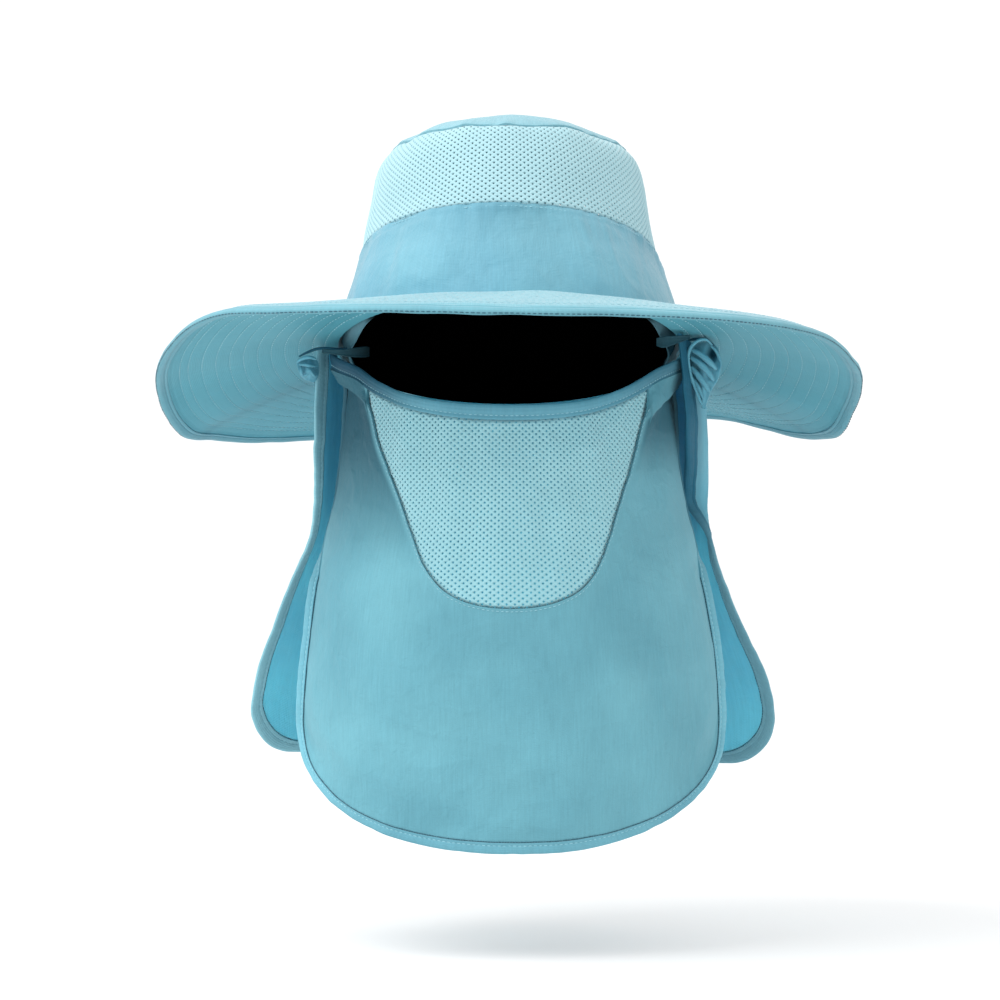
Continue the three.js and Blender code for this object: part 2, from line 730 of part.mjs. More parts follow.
// A strap end from each top corner of the face flap, lying flat on the lining
const TAB = { low: -6, high: 0.6, climb: 12, wall: 1.4, gap: 0.9 };
const TAB_TIP = { share: 0.18, narrowing: 2 };
const TAB_PLACES = {
  left: { side: -1, from: 84, to: 116, raised: 0 },
  right: { side: 1, from: 78, to: 110, raised: 3.5 },
};
function tab({ side, from, to, raised }) {
  return wall({
    point: (u, v) => {
      const angle = side * rad(lerp(from, to, u));
      const tip = TAB_TIP.narrowing * smooth((u - 1) / TAB_TIP.share + 1);
      const height = lerp(TAB.high - tip, TAB.low + tip / 2, v) + TAB.climb * u;
      return crownPoint(angle, height + raised);
    },
    columns: 10,
    rows: 2,
    from: side * (LINING_OFFSET + LINING_WALL + TAB.gap),
    to: side * (LINING_OFFSET + LINING_WALL + TAB.gap + TAB.wall),
  });
}

// The object

const crown = new THREE.Group();
crown.rotation.x = -TIP_BACK;
crown.add(
  piece("crown_tip", crownTip(), COLOURS.nylon),
  piece("crown_mesh", crownMesh(), COLOURS.mesh),
  piece("crown_band", crownBand(), COLOURS.nylon),
  piece("crown_lining", crownLining(), COLOURS.lining),
  piece("tab_left", tab(TAB_PLACES.left), COLOURS.binding),
  piece("tab_right", tab(TAB_PLACES.right), COLOURS.binding),
);

const hat = new THREE.Group();
hat.add(
  crown,
  piece("brim", brim(), COLOURS.nylon),
  piece("brim_binding", brimBinding(), COLOURS.binding),
  piece("neck_flap", flapSheet(), COLOURS.nylon),
  piece("flap_roll_left", cornerRoll(CORNER_ROLLS.left), COLOURS.nylon),
  piece("flap_roll_right", cornerRoll(CORNER_ROLLS.right), COLOURS.nylon),
  piece("neck_flap_binding", flapBinding(), COLOURS.binding),
  piece("face_flap", maskPanel(), COLOURS.nylon),
  piece("face_flap_mesh", maskMesh(), COLOURS.mesh),
  piece("face_flap_binding", maskBinding(), COLOURS.binding),
  piece("face_flap_top_binding", maskTopBinding(), COLOURS.binding),
);

export default hat;
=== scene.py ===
# %% [markdown]
# # A bucket hat with a neck flap
# The hat is sewn from thin light blue nylon: a crown with a mesh upper part, a wide stitched
# brim, a flap that hangs behind the neck and a flap that covers the face. It is shown as it
# sits when worn, with nothing inside it. We build every piece over a fixed CAD frame. Sizes
# are noted in millimetres, as a maker would, and become metres in the mesh. Left and right
# are the picture's.

import bpy
import bmesh
import math
import numpy as np
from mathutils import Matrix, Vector


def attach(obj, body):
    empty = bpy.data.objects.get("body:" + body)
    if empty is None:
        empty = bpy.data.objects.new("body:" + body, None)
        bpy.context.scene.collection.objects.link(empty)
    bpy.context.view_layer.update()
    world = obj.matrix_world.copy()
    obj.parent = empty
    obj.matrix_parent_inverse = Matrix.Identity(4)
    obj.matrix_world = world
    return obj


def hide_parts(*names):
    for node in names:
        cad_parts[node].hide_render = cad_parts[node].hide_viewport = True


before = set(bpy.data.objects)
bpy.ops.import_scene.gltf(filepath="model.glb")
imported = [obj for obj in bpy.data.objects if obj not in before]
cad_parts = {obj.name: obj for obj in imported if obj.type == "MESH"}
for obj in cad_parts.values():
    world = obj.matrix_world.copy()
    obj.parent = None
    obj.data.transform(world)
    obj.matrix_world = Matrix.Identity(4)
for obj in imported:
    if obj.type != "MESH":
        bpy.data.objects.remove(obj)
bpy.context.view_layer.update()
MM = 0.001

# %% [markdown]
# ## Camera
# The camera comes first. It stands two metres in front of the hat, level, and a little
# below the opening, so we look up under the brim. A long lens keeps the hat's proportions.

# %% Camera
CAMERA_X, CAMERA_DISTANCE, CAMERA_Z = -4.77, 2000.0, -82.2  # millimetres
MM_PER_PIXEL = 0.53  # in the plane of the temples
PIXELS = 1000.0  # width and height of the picture
SENSOR = 36.0
lens = SENSOR * CAMERA_DISTANCE / (MM_PER_PIXEL * PIXELS)

camera_data = bpy.data.cameras.new("camera")
camera_data.sensor_width = SENSOR
camera_data.lens = lens
camera = bpy.data.objects.new("camera", camera_data)
camera.location = (CAMERA_X * MM, -CAMERA_DISTANCE * MM, CAMERA_Z * MM)
camera.rotation_euler = (math.pi / 2, 0, 0)
bpy.context.scene.collection.objects.link(camera)
bpy.context.scene.camera = camera
print(f"lens {lens:.1f} mm")

# %% [markdown]
# ## Numbers into shapes
# Soft things are easiest to describe as surfaces: a rule that turns two numbers, across and
# down the cloth, into a point. NumPy evaluates such a rule for a whole grid at once. Tables
# of a few sizes become smooth curves through `curve_through`. A cloth simulation would find
# folds of its own, but not the ones in the picture, so the folds are written as rules too.

# %% Curves and soft steps
def curve_through(rows, value=1):
    """A smooth curve through a table's rows. Column 0 is where, column value is how much."""
    rows = sorted(rows)
    xs = np.array([r[0] for r in rows], float)
    ys = np.array([r[value] for r in rows], float)
    last = len(xs) - 1
    before, after = np.maximum(np.arange(last + 1) - 1, 0), np.minimum(np.arange(last + 1) + 1, last)
    slopes = (ys[after] - ys[before]) / (xs[after] - xs[before])

    def at(x):
        x = np.clip(np.asarray(x, float), xs[0], xs[-1])
        i = np.clip(np.searchsorted(xs, x) - 1, 0, last - 1)
        step = xs[i + 1] - xs[i]
        t = (x - xs[i]) / step
        t2, t3 = t * t, t * t * t
        return (
            (2 * t3 - 3 * t2 + 1) * ys[i]
            + (t3 - 2 * t2 + t) * step * slopes[i]
            + (3 * t2 - 2 * t3) * ys[i + 1]
            + (t3 - t2) * step * slopes[i + 1]
        )

    return at


def smooth(x):
    x = np.clip(x, 0, 1)
    return x * x * (3 - 2 * x)


def mix(a, b, t):
    return a + (b - a) * t


def point(x, y, z):
    return np.stack(np.broadcast_arrays(x, y, z), axis=-1).astype(float)


def unit(v):
    return v / np.maximum(np.linalg.norm(v, axis=-1, keepdims=True), 1e-12)


def bump(x, middle, width):
    """1 at the middle, fading to 0 on both sides."""
    return np.exp(-(((x - middle) / width) ** 2))


print("half way up a soft step:", float(smooth(0.5)))

# %% [markdown]
# Cloth is never quite flat. `ripples` adds up a few dozen slanting waves with seeded
# directions, which gives the same gentle unevenness each run. Stretched one way, it makes
# the small drags and puckers that a seam pulls into cloth.

# %% Ripples
def ripples(x, y, size, seed, stretch=1.0, waves=28):
    """A soft random field of about -1 to 1. size is its wavelength, stretched along y."""
    r = np.random.default_rng(seed)
    total = 0.0
    for _ in range(waves):
        turn, phase = r.uniform(0, np.pi), r.uniform(0, 2 * np.pi)
        k = 2 * np.pi / (size * r.uniform(0.7, 1.6))
        total = total + np.cos(k * (x * np.cos(turn) + y * np.sin(turn) / stretch) + phase)
    return total / math.sqrt(waves)


def ring_ripples(angle, radius, along, size, seed, stretch=1.0, waves=28):
    """Ripples on a ring of cloth, which meet where the ring closes."""
    r = np.random.default_rng(seed)
    total = 0.0
    for _ in range(waves):
        direction = r.normal(size=3)
        direction /= np.linalg.norm(direction)
        k, phase = 2 * np.pi / (size * r.uniform(0.7, 1.6)), r.uniform(0, 2 * np.pi)
        reach = direction[0] * np.sin(angle) * radius + direction[1] * np.cos(angle) * radius
        total = total + np.cos(k * (reach + direction[2] * along / stretch) + phase)
    return total / math.sqrt(waves)


def ridged(field):
    """Narrow ridges where a soft field passes through 0, as in cloth that has been folded."""
    return 1 - np.minimum(np.abs(field) * 2.2, 1) ** 0.7


def creases(x, y, size, seed, stretch=1.0):
    return ridged(ripples(x, y, size, seed, stretch))


print("ripples run from", round(float(ripples(np.arange(400), 0, 30, 1).min()), 2))

# %% [markdown]
# ## Grids into cloth
# `cloth` turns a grid of points into a closed sheet of real thickness. It also writes a UV
# map in metres along the cloth, so that threads keep their true size on every piece.

# %% Mesh helpers
def new_object(name, mesh):
    obj = bpy.data.objects.new(name, mesh)
    bpy.context.scene.collection.objects.link(obj)
    return obj


def grid_normals(p, ring=False):
    """Unit normals of a grid of points: across times down."""
    if ring:
        across = np.roll(p, -1, axis=1) - np.roll(p, 1, axis=1)
    else:
        across = np.gradient(p, axis=1)
    down = np.gradient(p, axis=0)
    return unit(np.cross(across, down))


def flat_sizes(p, ring=False):
    """How far each grid point lies along the cloth, across and down, in metres."""
    if ring:
        p = np.concatenate([p, p[:, :1]], axis=1)
    middle = p[p.shape[0] // 2]
    across = np.concatenate([[0], np.cumsum(np.linalg.norm(np.diff(middle, axis=0), axis=1))])
    steps = np.linalg.norm(np.diff(p, axis=0), axis=2)
    down = np.concatenate([np.zeros((1, p.shape[1])), np.cumsum(steps, axis=0)])
    u = np.broadcast_to(across, down.shape)
    return np.stack([u, down], axis=-1) * MM


def finish_mesh(obj, sharp=50.0, weld=0.0):
    """Welds doubles if asked, turns all faces outwards, and shades the piece smooth."""
    mesh = obj.data
    b = bmesh.new()
    b.from_mesh(mesh)
    if weld:
        bmesh.ops.remove_doubles(b, verts=b.verts, dist=weld)
    bmesh.ops.recalc_face_normals(b, faces=b.faces)
    b.to_mesh(mesh)
    b.free()
    mesh.polygons.foreach_set("use_smooth", [True] * len(mesh.polygons))
    mesh.set_sharp_from_angle(angle=math.radians(sharp))
    return obj


def make_piece(name, points, faces, uv, shade=None, **finish):
    """A finished piece. points are in millimetres, uv, one for each corner of each face, in
    metres, and shade is 0 to 1 at each point."""
    mesh = bpy.data.meshes.new(name)
    mesh.from_pydata((points.reshape(-1, 3) * MM).tolist(), [], faces)
    mesh.uv_layers.new(name="cloth").data.foreach_set("uv", np.ravel(uv))
    if shade is not None:
        mesh.attributes.new("shade", "FLOAT", "POINT").data.foreach_set("value", np.ravel(shade))
    return finish_mesh(new_object(name, mesh), **finish)


flat_x, flat_y = np.meshgrid(np.arange(3.0), np.arange(3.0))
print("a flat grid's normal:", grid_normals(point(flat_x, flat_y, 0))[1, 1].tolist())

# %% A sheet from a grid
def show(obj):
    print(f"{obj.name}: {sum(len(p.vertices) - 2 for p in obj.data.polygons)} triangles")
    return obj


def cloth(name, outside, thickness, ring=False, weld=0.0, normals=None, shade=None):
    """A closed sheet. outside is a grid of points in millimetres; the sheet's other face
    lies thickness behind it, against its normals. shade, from 0 to 1 at each grid point,
    is how much of its material's painted shade colour is mixed in there."""
    rows, columns = outside.shape[:2]
    n = grid_normals(outside, ring) if normals is None else normals
    inside = outside - n * thickness
    count = rows * columns
    across = np.arange(columns if ring else columns - 1)
    r, c = [k.ravel() for k in np.meshgrid(np.arange(rows - 1), across, indexing="ij")]
    corner_r = np.stack([r, r, r + 1, r + 1], axis=1)
    corner_c = np.stack([c, c + 1, c + 1, c], axis=1)
    face = corner_r * columns + corner_c % columns
    faces = [face, face[:, ::-1] + count]
    at_r, at_c = [corner_r, corner_r[:, ::-1]], [corner_c, corner_c[:, ::-1]]
    for row in (0, rows - 1):
        rr = np.full((len(across), 4), row)
        cc = np.stack([across, across + 1, across + 1, across], axis=1)
        faces.append(rr * columns + cc % columns + np.array([0, 0, count, count]))
        at_r.append(rr)
        at_c.append(cc)
    if not ring:
        for column in (0, columns - 1):
            k = np.arange(rows - 1)
            rr = np.stack([k, k + 1, k + 1, k], axis=1)
            cc = np.full((len(k), 4), column)
            faces.append(rr * columns + cc + np.array([0, 0, count, count]))
            at_r.append(rr)
            at_c.append(cc)
    faces, at_r, at_c = np.concatenate(faces), np.concatenate(at_r), np.concatenate(at_c)
    uv = flat_sizes(outside, ring)[at_r.ravel(), at_c.ravel()]
    if shade is not None:
        shade = [np.broadcast_to(shade, (rows, columns))] * 2
    return make_piece(name, np.stack([outside, inside]), faces.tolist(), uv, shade, weld=weld)


print("sheets are closed: a front, a back and four edges")

# %% [markdown]
# An edging tape is a ribbon folded over a raw edge. It could be a curve with a bevel, but a
# bevel keeps one width. We describe the tape by two lines, its inner edge and the fold, and
# sweep a small rounded section along them. The dip nearly a third of the way out is the
# groove that the stitches pull into the tape.

# %% Tape helper
TAPE_GROOVE = 0.28  # where the stitches run, from the inner edge, 0, to the fold, 1
TAPE_SECTION = [  # place across, as above, and share of the thickness off the middle
    (0.00, 0.24), (0.02, 0.44), (0.12, 0.50), (0.22, 0.42), (TAPE_GROOVE, 0.34), (0.34, 0.42),
    (0.48, 0.50), (0.70, 0.50), (0.88, 0.42), (0.97, 0.26), (1.00, 0.00),
]
TAPE_SECTION += [(a, -o) for a, o in TAPE_SECTION[-2::-1]]
TAPE_ACROSS, TAPE_OUT = np.array(TAPE_SECTION).T


def tape(name, inner, outer, normal, thickness, ring=False, shade=None):
    """inner and outer are the tape's edges, normal its facing. shade, as for a cloth, may
    change along the tape and across its section."""
    a, o = TAPE_ACROSS[None, :, None], TAPE_OUT[None, :, None]
    thickness = np.asarray(thickness).reshape(-1, 1, 1)
    p = inner[:, None] * (1 - a) + outer[:, None] * a + normal[:, None] * o * thickness
    rows, sides = p.shape[:2]
    r = np.arange(rows if ring else rows - 1)
    r, c = [k.ravel() for k in np.meshgrid(r, np.arange(sides), indexing="ij")]
    at_r = np.stack([r, r + 1, r + 1, r], axis=1)
    at_c = np.stack([c, c, c + 1, c + 1], axis=1)
    faces = (at_r % rows * sides + at_c % sides).tolist()
    closed = np.concatenate([p, p[:1]]) if ring else p
    along = np.concatenate([[0], np.cumsum(np.linalg.norm(np.diff(closed[:, 0], axis=0), axis=1))])
    round_it = np.concatenate([[0], np.cumsum(np.linalg.norm(np.diff(p[0], axis=0), axis=1))])
    round_it = np.append(round_it, round_it[-1] + 0.5)
    uv = np.stack([along[at_r.ravel()], round_it[at_c.ravel()]], axis=-1) * MM
    if not ring:
        faces += [list(range(sides)), list(range((rows - 1) * sides, rows * sides))]
        uv = np.concatenate([uv, np.zeros((2 * sides, 2))])
    if shade is not None:
        shade = np.broadcast_to(shade, (rows, sides))
    return make_piece(name, p, faces, uv, shade)


def in_groove(inner, outer, normal, lift):
    """The lines of a tape's stitches, on its back and its front, lift off its middle."""
    return [inner * (1 - TAPE_GROOVE) + outer * TAPE_GROOVE + normal * k * lift for k in (-1, 1)]


print("tape section:", len(TAPE_SECTION), "points")

# %% [markdown]
# ## Fabrics
# Everything here is woven or knitted polyamide. Plain-woven nylon is smooth and a little
# silky: light slides over it, but each thread breaks the shine. Colours are written as hex
# values, as a dyer's card would give them, and one function makes them linear for Cycles.

# %% Node and colour helpers
def linear(code):
    """An sRGB hex colour as linear RGBA."""
    parts = [int(code[i : i + 2], 16) / 255 for i in (1, 3, 5)]
    return tuple(c / 12.92 if c <= 0.04045 else ((c + 0.055) / 1.055) ** 2.4 for c in parts) + (1.0,)


def add(tree, kind, inputs=None, **settings):
    """Adds a node, sets its properties, and fills or links its inputs by name or number."""
    node = tree.nodes.new(kind)
    for key, value in settings.items():
        setattr(node, key, value)
    for key, value in (inputs or {}).items():
        socket = node.inputs[key]
        if isinstance(value, bpy.types.NodeSocket):
            tree.links.new(value, socket)
        else:
            socket.default_value = value
    return node


def new_material(name):
    material = bpy.data.materials.new(name)
    material.use_nodes = True
    material.node_tree.nodes.clear()
    return material


print("linear mid blue:", [round(c, 3) for c in linear("#7fc3d8")])

# %% [markdown]
# One recipe makes all the woven pieces. Two wave bands at right angles are the warp and the
# weft, and their heights meet in a bump map. Real threads are about 0.25 mm apart, too fine
# to show at this distance, so the drawn ones are wider. A large, soft noise mixes two
# shades, because thin cloth lets more light through in some places than in others. The
# studio light is too even to darken a fold by itself, so shade is painted: the mesh says
# where, and there the colour is mixed towards a darker one.

# %% Woven fabric recipe
def woven(name, light, deep, thread=0.9, depth=0.35, crinkle=0.5, roughness=0.62, sheen=0.2,
          ribs=False, fold="#285c6e", through=0.0, specular=0.35):
    """thread is the drawn thread spacing in millimetres, crinkle the strength of the small
    creases. fold is a painted shade colour, mixed in where the mesh's shade value says so:
    in folds and wherever else shade falls. On the lining it is painted light instead.
    through is how much light comes through it."""
    material = new_material(name)
    t = material.node_tree
    uv = add(t, "ShaderNodeUVMap", uv_map="cloth").outputs["UV"]
    place = add(t, "ShaderNodeTexCoord").outputs["Object"]
    per_metre = 2 * math.pi * 1000 / (20 * thread)  # a wave makes 20 / (2 pi) bands a unit
    warp = add(t, "ShaderNodeTexWave", {"Vector": uv, "Scale": per_metre, "Distortion": 0.6,
               "Detail": 2.0, "Detail Scale": 0.3}, bands_direction="X").outputs["Fac"]
    weft = add(t, "ShaderNodeTexWave", {"Vector": uv, "Scale": per_metre * (0.35 if ribs else 1.0),
               "Distortion": 0.0 if ribs else 0.6, "Detail": 2.0, "Detail Scale": 0.3},
               bands_direction="Y").outputs["Fac"]
    weave = add(t, "ShaderNodeMath", {0: warp, 1: weft}, operation="MULTIPLY").outputs[0]
    # patches of a lighter and a deeper shade, about 60 mm across
    patches = add(t, "ShaderNodeTexNoise", {"Vector": place, "Scale": 16.0, "Detail": 3.0,
                  "Roughness": 0.45}).outputs["Fac"]
    drift = add(t, "ShaderNodeMapRange", {"Value": patches, "From Min": 0.36, "From Max": 0.64})
    # thicker threads, about 1 mm wide and 17 mm long
    slub_at = add(t, "ShaderNodeMapping", {"Vector": uv, "Scale": (900.0, 60.0, 1.0)})
    slubs = add(t, "ShaderNodeTexNoise", {"Vector": slub_at.outputs[0], "Scale": 1.0,
                "Detail": 2.0}).outputs["Fac"]
    shade = add(t, "ShaderNodeMix", {0: drift.outputs[0], 6: linear(deep), 7: linear(light)},
                data_type="RGBA")
    # painted shade: the colour is mixed towards fold by the mesh's shade value
    painted_shade = add(t, "ShaderNodeAttribute", attribute_name="shade").outputs["Fac"]
    shade = add(t, "ShaderNodeMix", {0: painted_shade, 6: shade.outputs[2], 7: linear(fold)},
                data_type="RGBA")
    darker = add(t, "ShaderNodeMapRange", {"Value": slubs, "From Min": 0.3, "From Max": 0.7,
                 "To Min": 0.95, "To Max": 1.04}).outputs[0]
    threads = add(t, "ShaderNodeMapRange", {"Value": weave, "To Min": 0.96, "To Max": 1.03}).outputs[0]
    both = add(t, "ShaderNodeMath", {0: darker, 1: threads}, operation="MULTIPLY").outputs[0]
    colour = add(t, "ShaderNodeVectorMath", {0: shade.outputs[2], 3: both},
                 operation="SCALE").outputs[0]
    # small creases, about 7 mm apart
    folds = add(t, "ShaderNodeTexNoise", {"Vector": place, "Scale": 140.0, "Detail": 4.0,
                "Roughness": 0.55, "Distortion": 0.4}).outputs["Fac"]
    fine = add(t, "ShaderNodeBump", {"Height": weave, "Strength": depth, "Distance": 0.0003})
    rough = add(t, "ShaderNodeBump", {"Height": folds, "Strength": crinkle, "Distance": 0.0012,
                "Normal": fine.outputs[0]})
    shader = add(t, "ShaderNodeBsdfPrincipled", {"Base Color": colour, "Roughness": roughness,
                 "Normal": rough.outputs[0], "Sheen Weight": sheen, "Sheen Roughness": 0.45,
                 "Specular IOR Level": specular, "Subsurface Weight": through,
                 "Subsurface Radius": (1.0, 1.0, 1.0), "Subsurface Scale": 0.004})
    add(t, "ShaderNodeOutputMaterial", {"Surface": shader.outputs[0]})
    return material


def ribbed(name, light, deep, **settings):
    """Edging tape: a close warp over a thick weft, which shows as ribs."""
    return woven(name, light, deep, thread=0.7, depth=0.5, crinkle=0.3, ribs=True, **settings)


print("one woven recipe, for nylon cloth, edging tape and lining")

# %% [markdown]
# One cloth looks different in each part of the hat. On the stiffened brim it is pulled
# smooth and shines in grazing light. A single layer that hangs free lets light through, so
# the flaps are a clearer blue: partly rendered light, partly painted into their colour.
# Some parts take lit or shaded copies of the cloth: the top of the crown a paler one,
# painted light, and the brim's underside and the neck flap's outer face darker ones,
# painted shade. The tapes are a matt, ribbed weave that takes the dye differently.
# Starting from the same nylon, each part is matched to the picture by itself.

# %% Fabrics
# Crown band: soft, a little crumpled, with a silky sheen.
NYLON = woven("woven_nylon", "#6faabb", "#67a4b8", crinkle=0.7, sheen=0.35)
# Brim: pulled flat over its stiffener, so smoother and brighter where light grazes it.
BRIM_NYLON = woven("woven_nylon_on_stiffener", "#72b0be", "#6aa8b7", crinkle=0.25, sheen=0.5)
# Under the brim: painted shade, a darker copy of the same flat cloth, with no sheen.
SHADED_UNDER_NYLON = woven("woven_nylon_under_brim", "#58a3b3", "#509cac", crinkle=0.25, sheen=0.0)
# Top of the crown: painted light, a paler copy of the nylon, for the light on the top.
LIT_TIP_NYLON = woven("woven_nylon_top", "#84b6c2", "#7aacb9", crinkle=0.6)
# Neck flap, inner face: matt, with light from behind coming through it. Part of that light
# is rendered through the cloth, and part is painted light in its clearer blue.
FLAP_NYLON = woven("woven_nylon_flap", "#66c0d6", "#5db2ca", sheen=0.0, fold="#0e557a",
                   through=0.6, specular=0.15)
# Neck flap, outer face, and the bunched corners: painted shade, a greyer copy of the
# flap's cloth, as less light comes through.
OUTER_NYLON = woven("woven_nylon_flap_outside", "#6db1c4", "#64a7bb", sheen=0.1, fold="#174f63",
                    through=0.3, specular=0.15)
# Face flap: matt, and the most crumpled.
MASK_NYLON = woven("woven_nylon_mask", "#70adbb", "#65a1b0", crinkle=0.8, sheen=0.05,
                   fold="#0e485a", specular=0.15)
# Edging tapes and strap ends: polyester ribbon, whose ribs break up the light.
TAPE_CLOTH = ribbed("ribbed_edging_tape", "#76b9ca", "#6badbf", sheen=0.05, fold="#1c5062")
# The strap ends take a darker copy of the ribbon: painted shade, as they lie in shade.
STRAP_CLOTH = ribbed("ribbed_edging_tape_strap", "#5b94a6", "#528999", sheen=0.0, fold="#0a2229",
                     specular=0.1)
BRIM_TAPE_CLOTH = ribbed("ribbed_edging_tape_brim", "#70acba", "#66a1b0", sheen=0.15, fold="#5a9cac")
TOP_TAPE_CLOTH = ribbed("ribbed_edging_tape_top", "#6aa8ba", "#5f9db0", sheen=0.0, fold="#14485e")
# Neck flap's tape: painted light, pale for its lit upper left end. Painted shade darkens it everywhere
# else.
FLAP_TAPE_CLOTH = ribbed("ribbed_edging_tape_neck_flap", "#a2dbe7", "#96cfdc", sheen=0.0,
                         fold="#0c5872", specular=0.1)
# Lining: painted shade, a black and quite matt band for the dark inside of the crown. Its
# fold colour is painted light, for the light on its flange at the temples.
PAINTED_SHADE_LINING = woven("black_matt_lining", "#020202", "#010101", depth=0.2, crinkle=0.2, roughness=1.0,
                     sheen=0.0, fold="#6c9aa8", specular=0.0)
fabrics = [m.name for m in bpy.data.materials if m.name.startswith(("woven", "ribbed", "black"))]
print("fabrics:", fabrics)

# %% [markdown]
# The mesh is a warp knit: round holes in staggered rows, with plump, matt yarn between
# them. Sewing thread is spun polyester, fuzzy and matt as well. The holes and the stitches
# will be real geometry, so this material only has to look like yarn from close by.

# %% Knit and thread
def knitted(name, light, deep):
    """Matt yarn: soft changes of shade about 45 mm long, and fuzz about 1 mm across."""
    material = new_material(name)
    t = material.node_tree
    place = add(t, "ShaderNodeTexCoord").outputs["Object"]
    soft = add(t, "ShaderNodeTexNoise", {"Vector": place, "Scale": 22.0, "Detail": 2.0}).outputs["Fac"]
    yarn = add(t, "ShaderNodeTexNoise", {"Vector": place, "Scale": 900.0, "Detail": 2.0}).outputs["Fac"]
    shade = add(t, "ShaderNodeMix", {0: soft, 6: linear(deep), 7: linear(light)}, data_type="RGBA")
    bumps = add(t, "ShaderNodeBump", {"Height": yarn, "Strength": 0.5, "Distance": 0.0002})
    shader = add(t, "ShaderNodeBsdfPrincipled", {"Base Color": shade.outputs[2], "Roughness": 0.85,
                 "Normal": bumps.outputs[0], "Sheen Weight": 0.35, "Sheen Roughness": 0.5,
                 "Specular IOR Level": 0.25})
    add(t, "ShaderNodeOutputMaterial", {"Surface": shader.outputs[0]})
    return material


# The meshes: their yarn is paler than the cloth, because it is not packed as close.
CROWN_KNIT = knitted("warp_knit_mesh_crown", "#a6ccd3", "#99c1ca")
MASK_KNIT = knitted("warp_knit_mesh_face_flap", "#99cad2", "#8abdc7")
# Sewing threads: a pale one on top, one in the flap's own shade, and a dark one that
# draws painted shadow: the dark line of shade where a seam's two layers meet.
THREAD = knitted("spun_polyester_thread", "#9fd0da", "#92c5d0")
FLAP_THREAD = knitted("spun_polyester_thread_flap", "#6ea8b8", "#649eaf")
SHADOW_THREAD = knitted("spun_polyester_thread_dark", "#2a6072", "#245666")
print("knits and threads ready")

# %% [markdown]
# ## Stitches
# A lockstitch leaves a row of short thread bumps. Geometry Nodes suits this well: it turns a
# polyline into a curve, divides it by the stitch length and puts a small bead of thread at
# each point, turned along the seam. We build the tree once and reuse it for every seam. A
# few helpers come first: the export needs plain meshes, so every tree ends the same way.

# %% Helpers for trees
def new_tree(name, lengths, counts, material):
    """A Geometry Nodes tree with its named inputs: a geometry, lengths in metres, whole
    numbers and a material."""
    tree = bpy.data.node_groups.new(name, "GeometryNodeTree")
    inputs = [("Geometry", "Geometry", None)]
    inputs += [(label, "Float", value) for label, value in lengths.items()]
    inputs += [(label, "Int", value) for label, value in counts.items()]
    for label, kind, value in inputs + [(material, "Material", None)]:
        socket = tree.interface.new_socket(name=label, in_out="INPUT", socket_type="NodeSocket" + kind)
        if value is not None:
            socket.default_value = value
    tree.interface.new_socket(name="Geometry", in_out="OUTPUT", socket_type="NodeSocketGeometry")
    return tree


def end_tree(tree, geometry, material):
    """Ends a tree as the export needs it: real geometry, with its material set."""
    real = add(tree, "GeometryNodeRealizeInstances", {"Geometry": geometry})
    done = add(tree, "GeometryNodeSetMaterial", {"Geometry": real.outputs[0], "Material": material})
    add(tree, "NodeGroupOutput", {"Geometry": done.outputs[0]})
    return tree


def applied(obj, tree, values):
    """Runs a tree on an object, with its inputs set by name, and leaves a plain mesh."""
    modifier = obj.modifiers.new("nodes", "NODES")
    modifier.node_group = tree
    for item in tree.interface.items_tree:
        if item.in_out == "INPUT" and item.name in values:
            modifier[item.identifier] = values[item.name]
    bpy.context.view_layer.update()
    made = bpy.data.meshes.new_from_object(obj.evaluated_get(bpy.context.evaluated_depsgraph_get()))
    obj.modifiers.remove(modifier)
    obj.data = made
    return obj


print("tree helpers ready")

# %% Stitch tree
def stitch_tree():
    lengths = {"Pitch": 0.003, "Stitch Length": 0.0022, "Thread Width": 0.0006}
    tree = new_tree("stitches", lengths, {"Seed": 3}, "Thread")
    into = add(tree, "NodeGroupInput").outputs
    curve = add(tree, "GeometryNodeMeshToCurve", {"Mesh": into["Geometry"]})
    spaced = add(tree, "GeometryNodeResampleCurve", {"Curve": curve.outputs[0],
                 "Length": into["Pitch"]}, mode="LENGTH")
    tangent = add(tree, "GeometryNodeInputTangent").outputs[0]
    turn = add(tree, "FunctionNodeAlignRotationToVector", {"Vector": tangent}, axis="X")
    size = add(tree, "ShaderNodeCombineXYZ", {0: into["Stitch Length"], 1: into["Thread Width"],
               2: into["Thread Width"]})
    vary = add(tree, "FunctionNodeRandomValue", {2: 0.8, 3: 1.1, "Seed": into["Seed"]},
               data_type="FLOAT").outputs[1]
    scale = add(tree, "ShaderNodeVectorMath", {0: size.outputs[0], 3: vary}, operation="SCALE")
    bead = add(tree, "GeometryNodeMeshUVSphere", {"Segments": 5, "Rings": 3, "Radius": 0.5})
    along = add(tree, "GeometryNodeTransform", {"Geometry": bead.outputs[0],
                "Rotation": (0, math.pi / 2, 0)})
    placed = add(tree, "GeometryNodeInstanceOnPoints", {"Points": spaced.outputs[0],
                 "Instance": along.outputs[0], "Rotation": turn.outputs[0], "Scale": scale.outputs[0]})
    return end_tree(tree, placed.outputs[0], into["Thread"])


STITCHES = stitch_tree()


def stitch(name, lines, pitch=2.6, length=1.9, width=0.45, thread=THREAD, seed=3):
    """Rows of stitches along lines, each an array of points in millimetres. A closed line
    repeats its first point."""
    points = np.concatenate(lines) * MM
    edges, first = [], 0
    for line in lines:
        edges += [(first + i, first + i + 1) for i in range(len(line) - 1)]
        first += len(line)
    mesh = bpy.data.meshes.new(name)
    mesh.from_pydata(points.tolist(), edges, [])
    obj = applied(new_object(name, mesh), STITCHES, {"Pitch": pitch * MM, "Stitch Length": length * MM,
                  "Thread Width": width * MM, "Seed": seed, "Thread": thread})
    obj.data.polygons.foreach_set("use_smooth", [True] * len(obj.data.polygons))
    return show(obj)


